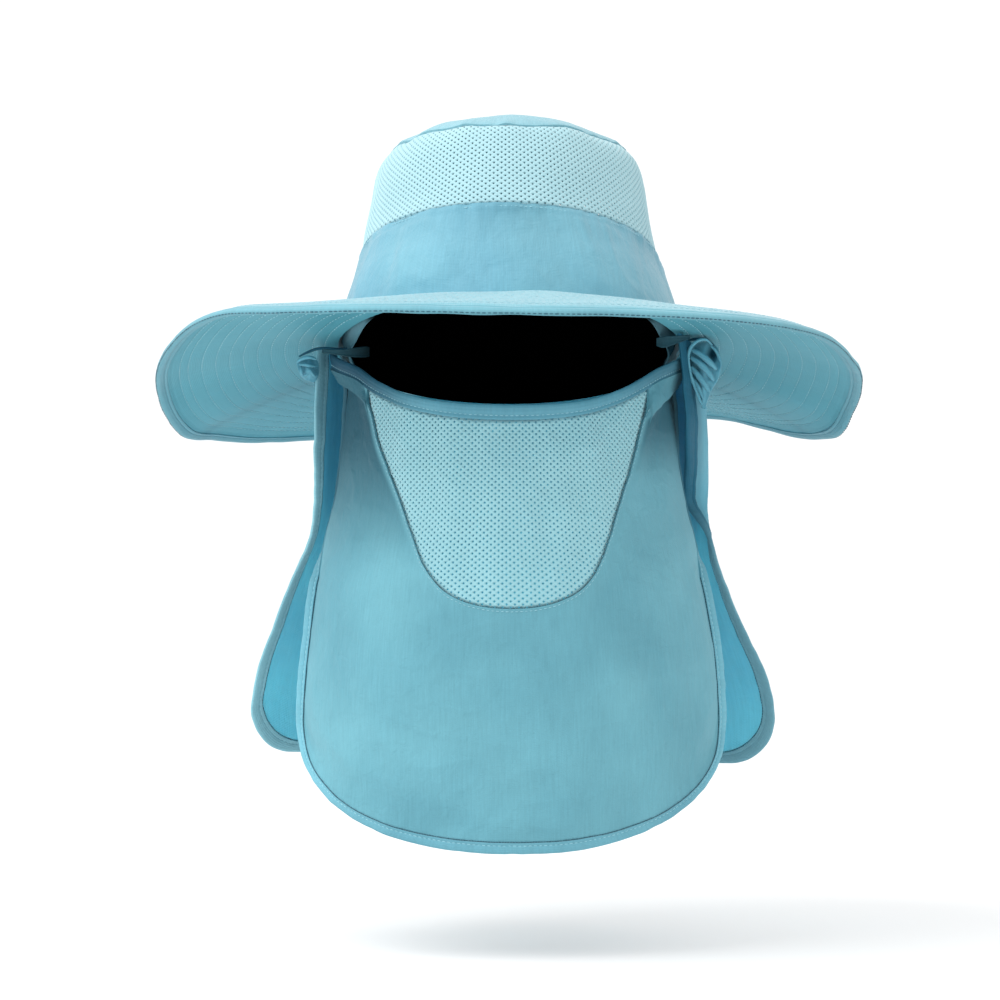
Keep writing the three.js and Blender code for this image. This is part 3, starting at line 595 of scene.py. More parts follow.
print("stitch tree:", len(STITCHES.nodes), "nodes")

# %% [markdown]
# ## Perforated cloth
# The mesh is made as cloth is: flat first, then draped. The tree takes the flat cut of a
# piece, lays a staggered lattice over it, gives each lattice point a six-sided cell and
# punches a hole in each cell. Cells whose middle lies off the cut are left out. The yarn
# between the holes is raised a little, and a second layer behind gives it thickness. An
# image with holes would be lighter, but real holes keep their edges from every side.

# %% Mesh tree
def mesh_tree():
    lengths = {"Size X": 0.1, "Size Y": 0.1, "Pitch": 0.004, "Row": 0.0015, "Hole Radius": 0.0006,
               "Ridge": 0.0002, "Wall": 0.0005}
    tree = new_tree("perforated_cloth", lengths, {"Columns": 10, "Rows": 10}, "Yarn")
    into = add(tree, "NodeGroupInput").outputs
    # the lattice: every other row shifted by half a pitch, joined into triangles, and the
    # six-sided cells round its points
    grid = add(tree, "GeometryNodeMeshGrid", {"Size X": into["Size X"], "Size Y": into["Size Y"],
               "Vertices X": into["Columns"], "Vertices Y": into["Rows"]})
    index = add(tree, "GeometryNodeInputIndex").outputs[0]
    row = add(tree, "ShaderNodeMath", {0: index, 1: into["Rows"]}, operation="FLOORED_MODULO").outputs[0]
    odd = add(tree, "ShaderNodeMath", {0: row, 1: 2.0}, operation="FLOORED_MODULO").outputs[0]
    half = add(tree, "ShaderNodeMath", {0: into["Pitch"], 1: 0.5}, operation="MULTIPLY").outputs[0]
    shift = add(tree, "ShaderNodeMath", {0: odd, 1: half}, operation="MULTIPLY").outputs[0]
    move = add(tree, "ShaderNodeCombineXYZ", {0: shift, 2: into["Ridge"]}).outputs[0]
    lattice = add(tree, "GeometryNodeSetPosition", {"Geometry": grid.outputs[0], "Offset": move})
    triangles = add(tree, "GeometryNodeTriangulate", {"Mesh": lattice.outputs[0]},
                    quad_method="SHORTEST_DIAGONAL")
    cells = add(tree, "GeometryNodeDualMesh", {"Mesh": triangles.outputs[0]})
    # only the cells over the cut stay: a ray from above each one looks for it
    position = add(tree, "GeometryNodeInputPosition").outputs[0]
    above = add(tree, "ShaderNodeVectorMath", {0: position, 1: (0, 0, 1)}, operation="ADD").outputs[0]
    over = add(tree, "GeometryNodeRaycast", {"Target Geometry": into["Geometry"], "Source Position": above,
               "Ray Direction": (0, 0, -1), "Ray Length": 2.0})
    off = add(tree, "FunctionNodeBooleanMath", {0: over.outputs[0]}, operation="NOT").outputs[0]
    cut = add(tree, "GeometryNodeDeleteGeometry", {"Geometry": cells.outputs[0], "Selection": off},
              domain="FACE")
    # the holes: each cell gets a smaller face inside it, squeezed to the hole's size, which
    # sinks a little and is deleted
    centre = add(tree, "GeometryNodeCaptureAttribute", domain="FACE")
    centre.capture_items.new("VECTOR", "Centre")
    tree.links.new(cut.outputs[0], centre.inputs["Geometry"])
    tree.links.new(position, centre.inputs["Centre"])
    inset = add(tree, "GeometryNodeExtrudeMesh", {"Mesh": centre.outputs["Geometry"], "Offset Scale": 0.0,
                "Individual": True}, mode="FACES")
    from_centre = add(tree, "ShaderNodeVectorMath", {0: position, 1: centre.outputs["Centre"]},
                      operation="SUBTRACT").outputs[0]
    wide = add(tree, "ShaderNodeMath", {0: into["Hole Radius"], 1: half}, operation="DIVIDE").outputs[0]
    wide = add(tree, "ShaderNodeMath", {0: wide, 1: 0.87}, operation="MULTIPLY").outputs[0]
    tall = add(tree, "ShaderNodeMath", {0: into["Hole Radius"], 1: into["Row"]},
               operation="DIVIDE").outputs[0]
    tall = add(tree, "ShaderNodeMath", {0: tall, 1: 1.5}, operation="MULTIPLY").outputs[0]
    squeeze = add(tree, "ShaderNodeCombineXYZ", {0: wide, 1: tall}).outputs[0]
    to_hole = add(tree, "ShaderNodeVectorMath", {0: from_centre, 1: squeeze},
                  operation="MULTIPLY").outputs[0]
    down = add(tree, "ShaderNodeMath", {0: into["Ridge"], 1: -1.0}, operation="MULTIPLY").outputs[0]
    drop = add(tree, "ShaderNodeCombineXYZ", {2: down}).outputs[0]
    hole = add(tree, "ShaderNodeVectorMath", {0: centre.outputs["Centre"], 1: to_hole},
               operation="ADD").outputs[0]
    hole = add(tree, "ShaderNodeVectorMath", {0: hole, 1: drop}, operation="ADD").outputs[0]
    shaped = add(tree, "GeometryNodeSetPosition", {"Geometry": inset.outputs["Mesh"],
                 "Selection": inset.outputs["Top"], "Position": hole})
    net = add(tree, "GeometryNodeDeleteGeometry", {"Geometry": shaped.outputs[0],
              "Selection": inset.outputs["Top"]}, domain="FACE")
    # the yarn's thickness: a second layer behind, with walls between the two
    wall = add(tree, "ShaderNodeMath", {0: into["Wall"], 1: -1.0}, operation="MULTIPLY").outputs[0]
    back_by = add(tree, "ShaderNodeCombineXYZ", {2: wall}).outputs[0]
    behind = add(tree, "GeometryNodeExtrudeMesh", {"Mesh": net.outputs[0], "Offset": back_by,
                 "Offset Scale": 1.0, "Individual": False}, mode="FACES")
    front = add(tree, "GeometryNodeFlipFaces", {"Mesh": net.outputs[0]})
    both = add(tree, "GeometryNodeJoinGeometry")
    tree.links.new(front.outputs[0], both.inputs[0])
    tree.links.new(behind.outputs["Mesh"], both.inputs[0])
    return end_tree(tree, both.outputs[0], into["Yarn"])


MESH_CLOTH = mesh_tree()
print("mesh tree:", len(MESH_CLOTH.nodes), "nodes")

# %% Pieces of mesh
def perforated(name, cut, low, high, pitch, row, hole, yarn, drape, ridge=0.22, wall=0.5):
    """cut is the outline of the flat cloth, low and high its corners, all in millimetres.
    drape(x, y) turns places on the flat cloth into (points, normals) on the hat."""
    middle = (np.array(low) + high) / 2
    mesh = bpy.data.meshes.new(name)
    corners = [((x - middle[0]) * MM, (y - middle[1]) * MM, 0) for x, y in cut]
    mesh.from_pydata(corners, [], [list(range(len(cut)))])
    obj = new_object(name, mesh)
    columns = int(round((high[0] - low[0]) / pitch)) + 3
    rows = int(round((high[1] - low[1]) / row)) + 3
    applied(obj, MESH_CLOTH, {"Size X": (columns - 1) * pitch * MM, "Size Y": (rows - 1) * row * MM,
            "Pitch": pitch * MM, "Row": row * MM, "Hole Radius": hole * MM, "Ridge": ridge * MM,
            "Wall": wall * MM, "Columns": columns, "Rows": rows, "Yarn": yarn})
    flat = np.zeros(len(obj.data.vertices) * 3)
    obj.data.vertices.foreach_get("co", flat)
    flat = flat.reshape(-1, 3) / MM
    p, n = drape(flat[:, 0] + middle[0], flat[:, 1] + middle[1])
    obj.data.vertices.foreach_set("co", ((p + n * flat[:, 2:]) * MM).ravel())
    return show(finish_mesh(obj, sharp=75, weld=1e-6))


print("mesh is punched flat, with", len(MESH_CLOTH.interface.items_tree), "sockets to set it by")

# %% [markdown]
# ## Crown
# The crown is three shells sewn one above the other: a plain band, a mesh ring and a domed
# top. They share one rule: the half width of the head oval at each height. The crown is
# drawn upright and then tipped back by 14 degrees, as the hat is worn.

# %% Crown shape
TIP_BACK = math.radians(14)
OVAL = 1.08  # length of the head oval over its width
TIP_SEAM = 101.0
CROWN_PROFILE = [  # height above the opening, half width
    (0, 91.5), (12, 89.4), (25, 86), (36, 82), (48, 78.6),
    (62, 76), (78, 73.8), (88, 72.2), (95, 69.8), (TIP_SEAM, 65),
]
crown_half = curve_through(CROWN_PROFILE)


def crown_point(angle, height):
    """angle is from the front, growing towards the picture's right."""
    half = crown_half(height)
    return point(half * np.sin(angle), -half * OVAL * np.cos(angle), height)


def tilt(p):
    c, s = math.cos(TIP_BACK), math.sin(TIP_BACK)
    x, y, z = p[..., 0], p[..., 1], p[..., 2]
    return point(x, y * c + z * s, z * c - y * s)


def crown_normal(angle, height):
    e = 1e-3
    across = crown_point(angle - e, height) - crown_point(angle + e, height)
    down = crown_point(angle, height - 0.1) - crown_point(angle, height + 0.1)
    return unit(np.cross(across, down))


def band_seam(angle):
    """The seam between band and mesh is highest at the front."""
    return 47.2 + 4 * np.cos(angle) - 1.5 * np.sin(angle)


def tip_seam(angle):
    """The seam between mesh and top dips a little at the front."""
    return TIP_SEAM - 2.6 * np.maximum(np.cos(angle), 0) ** 2


def around(count):
    """Angles once round, clockwise from above, so that normals point outwards."""
    return -2 * np.pi * np.arange(count) / count


print("crown is", 2 * float(crown_half(0)), "mm wide at its foot")

# %% [markdown]
# The band's upper edge is folded under and topstitched over the mesh, so it stands a little
# proud, with a groove where the stitches run. Short vertical drags start at both seams, and
# a few creases cross it. All of this is added to one rule, as a lift off the head's oval.

# %% Crown band
BAND_ROWS, BAND_COLUMNS = 40, 340
BAND_RADIUS = 84  # of its middle, for the ripples
angle = around(BAND_COLUMNS)[None, :]
share = np.linspace(0, 1, BAND_ROWS)[:, None]
height = mix(band_seam(angle) - 0.1, -1.6, share)
below = band_seam(angle) - height
soft = ring_ripples(angle, BAND_RADIUS, height, 46, 11, 1.6) * smooth(height / 10) * smooth(below / 8)
soft = soft + 0.35 * ring_ripples(angle, BAND_RADIUS, height, 17, 14, 2.6) * smooth(height / 10)
ridge = ridged(ring_ripples(angle, BAND_RADIUS, height, 40, 15, 1.3))
soft = soft + 0.55 * ridge * smooth(height / 9) * smooth(below / 7)
drag = 0.45 * ring_ripples(angle, BAND_RADIUS, height, 7.5, 12, 7) * np.exp(-below / 11)
drag = drag + 0.3 * ring_ripples(angle, BAND_RADIUS, height, 10, 13, 4) * np.exp(-height / 7)
fold = 0.42 * smooth((4.2 - below) / 0.9) - 0.25 * bump(below, 2.1, 0.5)
fold = fold - 0.3 * smooth((0.7 - below) / 0.7)
lift = np.maximum(soft + drag + fold, -0.8)[..., None]
band_grid = tilt(crown_point(angle, height) + crown_normal(angle, height) * lift)
# painted shade: darker along the creases, in the hollows where the cloth sinks in, and at the front below
# the top seam
hollows = smooth(0.5 - 0.6 * ring_ripples(angle, BAND_RADIUS, height, 46, 11, 1.6))
in_shade = 0.05 * ridge**2 + 0.1 * hollows
in_shade = in_shade + 0.12 * np.maximum(np.cos(angle), 0) * (1 - smooth((below - 6) / 26))
crown_band = show(cloth("crown_band_cloth", band_grid, 1.2, ring=True, shade=in_shade))
crown_band.data.materials.append(NYLON)

# %% [markdown]
# The mesh is punched flat and draped round the crown, so its holes stay in even rows. Its
# seam allowances tuck in behind the band's fold below and under the top's edge above. The
# top seam gathers it slightly.

# %% Crown mesh
ROUND = 78.0  # millimetres of flat mesh for each radian round the crown
MESH_PITCH, MESH_ROW = 2 * math.pi * ROUND / 118, 1.5


def seam_gather(angle):
    """How far the top seam is pulled in and out as it goes round."""
    return 0.75 * ring_ripples(angle, 68, 0, 30, 21) + 0.3 * ring_ripples(angle, 68, 0, 11, 22)


def mesh_lift(angle, height):
    soft = 0.55 * ring_ripples(angle, ROUND, height, 42, 23)
    to_tip = tip_seam(angle) - height
    gathers = seam_gather(angle) * np.exp(-np.maximum(to_tip, 0) / 9)
    tucked = -1.35 * smooth((band_seam(angle) + 1.6 - height) / 1.9) - 0.9 * smooth((1.5 - to_tip) / 1.5)
    inside = smooth((height - band_seam(angle)) / 12) * smooth(to_tip / 12)
    return soft * inside + gathers + tucked - 0.25


def crown_drape(x, y):
    angle = x / ROUND
    n = crown_normal(angle, y)
    return tilt(crown_point(angle, y) + n * mesh_lift(angle, y)[..., None]), tilt(n)


turns = np.linspace(-np.pi, np.pi, 121)
low_edge = [(a * ROUND, float(band_seam(a)) - 2.4) for a in turns]
high_edge = [(a * ROUND, float(tip_seam(a)) + 1.0) for a in turns[::-1]]
crown_net = perforated("crown_mesh_cloth", low_edge + high_edge, (-np.pi * ROUND, 40.0),
                       (np.pi * ROUND, TIP_SEAM + 2), MESH_PITCH, MESH_ROW, 0.58, CROWN_KNIT,
                       crown_drape)

# %% [markdown]
# The top is a shallow dome of plain cloth. Its seam gathers make small puckers that fade
# towards the middle. A narrow seam joins the mesh at each side of the crown.

# %% Crown tip
TIP_ROWS, TIP_COLUMNS = 38, 320
TIP_RADIUS = 65  # from its middle to its seam
angle = around(TIP_COLUMNS)[None, :]
share = np.linspace(0, 1, TIP_ROWS)[:, None] ** 0.8
dome_half = crown_half(tip_seam(angle)) * share
dome_height = tip_seam(angle) + 0.3 + (TIP_SEAM + 15.6 - tip_seam(angle)) * (1 - share**2.8)
from_seam = (1 - share) * TIP_RADIUS
uneven = 0.4 * ripples(dome_half * np.sin(angle), dome_half * np.cos(angle), 34, 24)
pucker = seam_gather(angle) * np.exp(-from_seam / 10) + uneven * smooth(from_seam / 12)
drags = 0.3 * ring_ripples(angle, TIP_RADIUS, from_seam, 8, 25, 5) * np.exp(-from_seam / 8)
roll = 0.35 - 0.5 * smooth((1.2 - from_seam) / 1.2) - 0.22 * bump(from_seam, 2.4, 0.6)
dome = point(dome_half * np.sin(angle), -dome_half * OVAL * np.cos(angle), dome_height)
dome_out = grid_normals(dome, ring=True)
dome_out[0] = (0, 0, 1)
dome_out *= np.sign((dome_out * (0, 0, 1)).sum(-1, keepdims=True) + 1e-9)
tip_grid = tilt(dome + dome_out * (pucker + drags + roll * smooth(share * 3))[..., None])
tip_grid[0] = tip_grid[0].mean(axis=0)
crown_tip = show(cloth("crown_tip_cloth", tip_grid, 1.2, ring=True, weld=1e-7, normals=tilt(dome_out)))
crown_tip.data.materials.append(LIT_TIP_NYLON)

# %% Side seams
SEAM_TURN = 1.3 / 76  # half the seam's width over the radius of the crown there
seam_height = np.linspace(float(band_seam(1.57)) + 0.5, TIP_SEAM - 0.6, 60)
for label, middle in (("left", -math.pi / 2), ("right", math.pi / 2)):
    lines = []
    for a in (middle - SEAM_TURN, middle + SEAM_TURN):
        lift = crown_normal(a, seam_height) * (mesh_lift(a, seam_height) + 0.25)[:, None]
        lines.append(tilt(crown_point(a, seam_height) + lift))
    n = crown_normal(np.full_like(seam_height, middle), seam_height)
    side_seam = show(tape(f"crown_side_seam_{label}", *lines, tilt(n), 0.7))
    side_seam.data.materials.append(CROWN_KNIT)

# %% [markdown]
# Inside the crown only the black lining band shows, so it is a plain ring that follows the
# band. Its black is painted shade, for the dark inside of the crown. Its lower edge turns
# in as a narrow flange at the temples, with painted light on it there.

# %% Lining
angle = around(160)[None, :]
beside = np.abs(np.degrees((angle + np.pi) % (2 * np.pi) - np.pi))  # degrees from the front
flange = smooth((beside - 48) / 26)
height = mix(46, -2.0 - 5.0 * flange, np.linspace(0, 1, 24)[:, None])
out = crown_normal(angle, height)
inwards = 2.5 + 4.0 * flange * smooth((3.0 - height) / 10) + 0.15 * ring_ripples(angle, 88, height, 30, 31)
shade_lining_grid = tilt(crown_point(angle, height) - out * inwards[..., None])
# painted light on the flange at the temples, stronger on the left
painted_light_top = mix(2.0, 6.5, smooth((beside - 60) / 14))
facing = smooth((painted_light_top - height) / 3) * smooth((beside - 52) / 8) * smooth((104 - beside) / 8)
facing = facing * np.where(np.sin(angle) < 0, 0.95, 0.6)
shade_lining = show(cloth("crown_lining_painted_shade", shade_lining_grid, 1.0, ring=True, shade=facing))
shade_lining.data.materials.append(PAINTED_SHADE_LINING)

# %% [markdown]
# ## Brim
# The brim is two layers of cloth with a stiffener between, quilted by rings of stitches.
# Each ring pulls a shallow groove into both faces, and the cloth swells between them. The
# rings follow one rule, so a grid swept round the hat suits it. The table gives the height
# of its edge as it droops at the sides.

# %% Brim shape
BRIM_ROOT, BRIM_HALF_WIDTH, BRIM_FRONT, BRIM_BACK = 92.0, 187.0, 192.0, 186.0
BRIM_WALL, BRIM_WIDTH = 2.4, 97.0
BRIM_EDGE = [  # degrees from the front, height
    (-180, -38), (-160, -42), (-143, -45.3), (-128, -47.2), (-117, -46.2), (-109, -45.6),
    (-103, -40.5), (-97, -33), (-90, -22.5), (-80, -12.6), (-70, -2.4), (-60, 7.4),
    (-50, 12.6), (-38, 12.1), (-20, 11.6), (0, 9.9), (20, 9.4), (38, 7.6), (52, 4.6),
    (61, 0.6), (73, -9.5), (85, -18.8), (97, -32.5), (104, -43), (111, -46.3), (120, -44.8),
    (128, -40.4), (141, -33), (160, -33.5), (180, -38),
]
brim_edge_height = curve_through(BRIM_EDGE)


def brim_point(angle, share):
    """The upper face, from the crown, share 0, to the edge, share 1."""
    half = crown_half(0) - 0.5
    long = crown_half(0) * OVAL - 0.5
    inner = tilt(point(half * np.sin(angle), -long * np.cos(angle), -0.7))
    reach = mix(BRIM_BACK, BRIM_FRONT, (1 + np.cos(angle)) / 2)
    droop = brim_edge_height(np.degrees(angle))
    outer = point(BRIM_HALF_WIDTH * np.sin(angle), -reach * np.cos(angle), droop)
    bow = mix(0.8, np.where(angle < 0, 2.6, 4.0), np.sin(angle) ** 2)
    share = np.asarray(share, float)
    p = inner * (1 - share[..., None]) + outer * share[..., None]
    rise = bow * 4 * share * (1 - share) + 1.1 - 2.2 * smooth((share - 0.86) / 0.14)
    p[..., 2] += rise - 1.1 * (1 - smooth(share * 8))
    return p


def brim_normal(angle, share):
    """Upwards, square to the brim."""
    e = 1e-3
    along = brim_point(angle + e, share) - brim_point(angle - e, share)
    outwards = brim_point(angle, share + e) - brim_point(angle, share - e)
    return unit(np.cross(outwards, along))


def under_brim(x, y):
    """Height of the brim's lower face over a place on the ground plan."""
    angle = np.arctan2(x, -y / 1.03)  # the brim is a little longer than wide
    a, b = brim_point(angle, np.zeros_like(angle)), brim_point(angle, np.ones_like(angle))
    a, b = np.hypot(a[..., 0], a[..., 1]), np.hypot(b[..., 0], b[..., 1])
    share = np.maximum((np.hypot(x, y) - a) / (b - a), 0)
    return brim_point(angle, share)[..., 2] - BRIM_WALL * 1.08


print("brim normal at the front points up:", float(brim_normal(np.zeros(1), np.full(1, 0.5))[0, 2]) > 0)

# %% Brim
QUILT_ROWS = [  # millimetres in from the edge
    7.6, 12.2, 17.0, 24.4, 31.8, 39.2, 46.6, 54.0, 61.4, 68.8, 76.2, 83.6, 90.5,
]
BRIM_SEAMS = (-113.0, 115.0)  # degrees: the brim is cut in a front and a back half
BRIM_RADIUS = 140  # of its middle, for the ripples
BRIM_TAPE = 6.0


def seam_distance(angle, share):
    out = mix(BRIM_ROOT, BRIM_HALF_WIDTH, share)
    return np.minimum(*[np.abs(angle - math.radians(degrees)) * out for degrees in BRIM_SEAMS])


def brim_relief(angle, share):
    """How far the faces swell, with the quilting grooves and the two radial seams, and how
    far both are lifted by the cloth's own unevenness."""
    from_edge = (1 - share) * BRIM_WIDTH
    grooves = sum(bump(from_edge, row, 0.6) for row in QUILT_ROWS)
    puff = 0.06 * ring_ripples(angle, BRIM_RADIUS, from_edge, 5.5, 41, 0.6) * (1 - grooves)
    puff = -0.22 * grooves + puff
    soft = 0.35 * ring_ripples(angle, BRIM_RADIUS, from_edge, 60, 42)
    soft = soft * smooth(share * 6) * smooth((1 - share) * 8)
    return puff - 0.3 * np.exp(-((seam_distance(angle, share) / 1.2) ** 2)), soft


BRIM_ROWS, BRIM_COLUMNS = 130, 300
angle = (np.pi - 2 * np.pi * np.arange(BRIM_COLUMNS) / BRIM_COLUMNS)[None, :] + np.zeros((BRIM_ROWS, 1))
under_tape = 1 - (BRIM_TAPE - 1.2) / BRIM_WIDTH
share = np.linspace(0, under_tape, BRIM_ROWS)[:, None] + np.zeros((1, BRIM_COLUMNS))
relief, soft = brim_relief(angle, share)
up = brim_normal(angle, share)
middle = brim_point(angle, share) + up * (soft - BRIM_WALL / 2)[..., None]
faces = [middle + up * (s * (BRIM_WALL / 2 - 0.15 + relief))[..., None] for s in (1, -1)]
# painted shade along the two radial seams, whose crease lies in shade
in_shade = 0.28 * np.exp(-seam_distance(angle, share) / 6)
brim = show(cloth("brim_cloth", faces[0], 1.0, ring=True, normals=faces[0] - faces[1], shade=in_shade))
brim.data.materials.append(BRIM_NYLON)
# the faces that look down take the darker copy: painted shade under the brim
brim.data.materials.append(SHADED_UNDER_NYLON)
directions = np.zeros(len(brim.data.polygons) * 3)
brim.data.polygons.foreach_get("normal", directions)
brim.data.polygons.foreach_set("material_index", (directions.reshape(-1, 3)[:, 2] < 0).astype(int))

# %% [markdown]
# A tape is folded over the brim's edge and sewn on. It wavers a little, as a tape does that
# is eased round a curve, and a line of stitches shows on its nose. The stitches are real;
# their dark colour is painted shadow, for the groove they sit in.

# %% Brim tape
angle = -np.pi + 2 * np.pi * np.arange(720) / 720
wave = 0.25 * ring_ripples(angle, BRIM_HALF_WIDTH, 0, 24, 43)
n = brim_normal(angle, np.full_like(angle, 0.99))
inner = brim_point(angle, np.full_like(angle, 1 - BRIM_TAPE / BRIM_WIDTH)) + n * (-BRIM_WALL / 2)
at_edge = brim_point(angle, np.ones_like(angle))
outwards = unit(at_edge - brim_point(angle, np.full_like(angle, 0.9)))
outer = at_edge + n * (-BRIM_WALL / 2) + outwards * wave[:, None]
# painted shade on the tape's underside, like the darker copy under the brim
brim_tape = show(tape("brim_edge_tape", inner, outer, n, 3.5 + wave, ring=True,
                      shade=(TAPE_OUT < -0.2) * 1.0))
brim_tape.data.materials.append(BRIM_TAPE_CLOTH)
nose = outer + unit(outer - inner) * 0.1 - n * 0.35
stitch("brim_edge_stitches", [np.concatenate([nose, nose[:1]])], pitch=2.7, length=2.5,
       width=0.75, thread=SHADOW_THREAD)

# %% [markdown]
# The quilting stitches show on both faces. Each ring lies on the groove it has pulled in.
# The outermost groove, beside the tape, has none.

# %% Quilting stitches
turns = np.linspace(-np.pi, np.pi, 361)
for side, label, width in ((1, "upper", 0.36), (-1, "under", 0.52)):
    rings = []
    for row in QUILT_ROWS[1:]:
        share = np.full_like(turns, 1 - row / BRIM_WIDTH)
        relief, soft = brim_relief(turns, share)
        up = brim_normal(turns, share)
        off = soft - BRIM_WALL / 2 + side * (BRIM_WALL / 2 + relief + 0.02)
        rings.append(brim_point(turns, share) + up * off[:, None])
    stitch(f"brim_stitches_{label}", rings, pitch=3.4, length=2.4, width=width, seed=5)

# %% [markdown]
# ## Neck flap
# The neck flap is one sheet, sewn up under the brim from temple to temple round the back.
# Its body hangs in soft folds that deepen towards the hem, and each front edge stands out
# as a wing. Higher up, the left front edge comes forward to the bunched corner, and the
# right one curls inwards and comes forward over the face flap's corner.

# %% Neck flap shape
FLAP_SECTIONS = [  # height, half width, reach behind, front edge on the left, on the right
    (-230, 108, 124, 134, 138), (-196, 106, 121, 137, 141), (-175, 104, 118, 134, 136.5),
    (-150, 101, 114, 125.5, 125), (-125, 98, 110, 116, 114.5), (-99, 95.5, 106, 105.5, 107),
    (-70, 93.5, 103, 103, 107), (-40, 92.5, 100, 102.5, 106), (-4, 92, 98, 101, 103),
    (30, 92, 98, 97, 98),
]
flap_half, flap_back, flap_left, flap_right = (curve_through(FLAP_SECTIONS, k) for k in (1, 2, 3, 4))
FLAP_TURN = math.radians(92)  # how far it reaches from the middle of the back, each way
FLAP_CURL = 0.09  # the share of its half length that curls inwards on the right
FLAP_HALF_LENGTH, FLAP_TAPE = 158.0, 5.4
FLAP_CORNER, FLAP_CORNER_RISE = 0.13, 24.0


def flap_bottom(u, inset):
    turned = np.clip((np.abs(u) - (1 - FLAP_CORNER)) / FLAP_CORNER, 0, 1)
    return -225 + 6 * u * u - 3.5 * u + FLAP_CORNER_RISE * (1 - np.sqrt(1 - turned**2)) + inset


def flap_across(u, height, below):
    """u runs from the left front edge, -1, round the back to the right one, 1."""
    angle = np.pi - u * FLAP_TURN
    start = mix(0.8, 0.62, np.minimum(below, 1))
    raised = smooth((height + 115) / 35)
    curl = np.where(u > 0, raised, 0)
    reach = 1 - FLAP_CURL * curl
    wing = np.clip((np.abs(u) - start) / (reach - start), 0, 1) ** (2 + 2 * np.where(u < 0, raised, 0))
    turned = curl * np.maximum(0, (u - reach) / FLAP_CURL)
    body = flap_half(height)
    edge = np.where(u < 0, flap_left(height), flap_right(height))
    fold = np.cos(7 * (angle - np.pi) * 1.1) * (1 - wing)
    out = 1 + 5.5 * below**1.3 * fold / body
    x = body * np.sin(angle) * out + np.sign(u) * (edge - body) * wing - 14.0 * turned**1.1
    forward = smooth((height + 90) / 60)
    y = -flap_back(height) * np.cos(angle) * out + 10 * below * wing + (5 - 40 * forward) * turned
    y = y - np.where(u < 0, 13 * forward * wing, 0)
    return point(x, y, height)


def flap_top(u):
    p = flap_across(u, np.zeros_like(u), np.zeros_like(u))
    return under_brim(p[..., 0], p[..., 1]) - 1.05


def flap_point(u, height):
    u, height = np.broadcast_arrays(np.asarray(u, float), np.asarray(height, float))
    below = np.clip((flap_top(u) - height) / 200, 0, 1.2)
    return flap_across(u, height, below)


print("the neck flap's hem is at", float(flap_bottom(np.zeros(1), 0)[0]), "mm")

# %% [markdown]
# The flap's rule gives its large folds, and a relief adds the small ones. Its outer face
# takes its own material, a greyer copy of the cloth than the inner face's: painted shade.
# The shade value is painted shade too: it deepens the blue up under the brim.

# %% Neck flap cloth
def flap_relief(u, height):
    """Vertical drags from the gathered top seam, and long soft folds lower down."""
    arc, down = u * FLAP_HALF_LENGTH, flap_top(u) - height
    drags = 0.55 * ripples(arc, down, 13, 51, 6) * np.exp(-down / 45)
    soft = 0.9 * ripples(arc, down, 48, 52, 2.2) * smooth(down / 40)
    fine = 0.22 * creases(arc, down, 26, 53, 1.3)
    hem = 0.5 * ripples(arc, down, 19, 54, 2) * np.exp(-np.maximum(height - flap_bottom(u, 0), 0) / 9)
    return (drags + soft + fine + hem) * smooth(down / 6)


def even_out(u):
    return np.sin(u * np.pi / 2)


FLAP_ROWS, FLAP_COLUMNS = 110, 300
u = even_out(np.linspace(-1, 1, FLAP_COLUMNS))[None, :] * (1 - (FLAP_TAPE - 1.5) / FLAP_HALF_LENGTH)
u = u + np.zeros((FLAP_ROWS, 1))
v = np.linspace(0, 1, FLAP_ROWS)[:, None]
wide = even_out(np.linspace(-1, 1, FLAP_COLUMNS))[None, :] + np.zeros((FLAP_ROWS, 1))
height = mix(flap_top(u), flap_bottom(wide, FLAP_TAPE - 1.5), v)
base = flap_point(u, height)
out = grid_normals(base)
from_tape = np.minimum((1 - np.abs(u)) * FLAP_HALF_LENGTH - FLAP_TAPE,
                       height - flap_bottom(u, FLAP_TAPE))
lift = flap_relief(u, height) * mix(0.6, 1.0, smooth(from_tape / 10)) + 0.5
flap_grid = base + out * lift[..., None]
# painted shade: deeper up under the brim towards the front edges, and most on the right, where the edge
# curls inwards; the strip that turns back out there stays lighter
in_shade = smooth((height + 128) / 90) * smooth((np.abs(u) - 0.55) / 0.2)
right_shade = 0.85 - 0.8 * smooth((u - 0.885) / 0.03) + 0.4 * smooth((u - 0.925) / 0.03)
in_shade = in_shade * np.where(u < 0, 0.52 - 0.25 * smooth((-u - 0.93) / 0.03), right_shade)
neck_flap = show(cloth("neck_flap_cloth", flap_grid, 1.0, normals=out, shade=in_shade))
neck_flap.data.materials.append(FLAP_NYLON)
neck_flap.data.materials.append(OUTER_NYLON)
outer_faces = np.arange(len(neck_flap.data.polygons)) < (FLAP_ROWS - 1) * (FLAP_COLUMNS - 1)
neck_flap.data.polygons.foreach_set("material_index", outer_faces.astype(int))

# %% [markdown]
# One tape runs round each flap: down the left edge, along the hem and up the right edge.
# It follows the edge of the same surface as the cloth, so the two stay together wherever
# the flap bends.

# %% Neck flap tape
def round_edge(s, turn):
    """For s from 0 to 1 down one side, along the hem and up the other: the side, how far
    down it, and how far across the hem, -1 to 1. turn is the share that a side takes."""
    side = np.where(s < 0.5, -1.0, 1.0)
    down = np.where(s < 0.5, s, 1 - s) / turn
    return side, down, even_out(np.clip((s - turn) / (1 - 2 * turn), 0, 1) * 2 - 1)


def flap_outline(s, inset):
    """Where the tape lies, for s from 0 to 1."""
    side, down, across = round_edge(s, 12 / 56)
    edge = 1 - inset / FLAP_HALF_LENGTH
    beside = mix(flap_top(side * edge) - 0.8, flap_bottom(side, inset), np.minimum(down, 1))
    u = np.where(down < 1, side * edge, across * edge)
    return u, np.where(down < 1, beside, flap_bottom(across, inset))


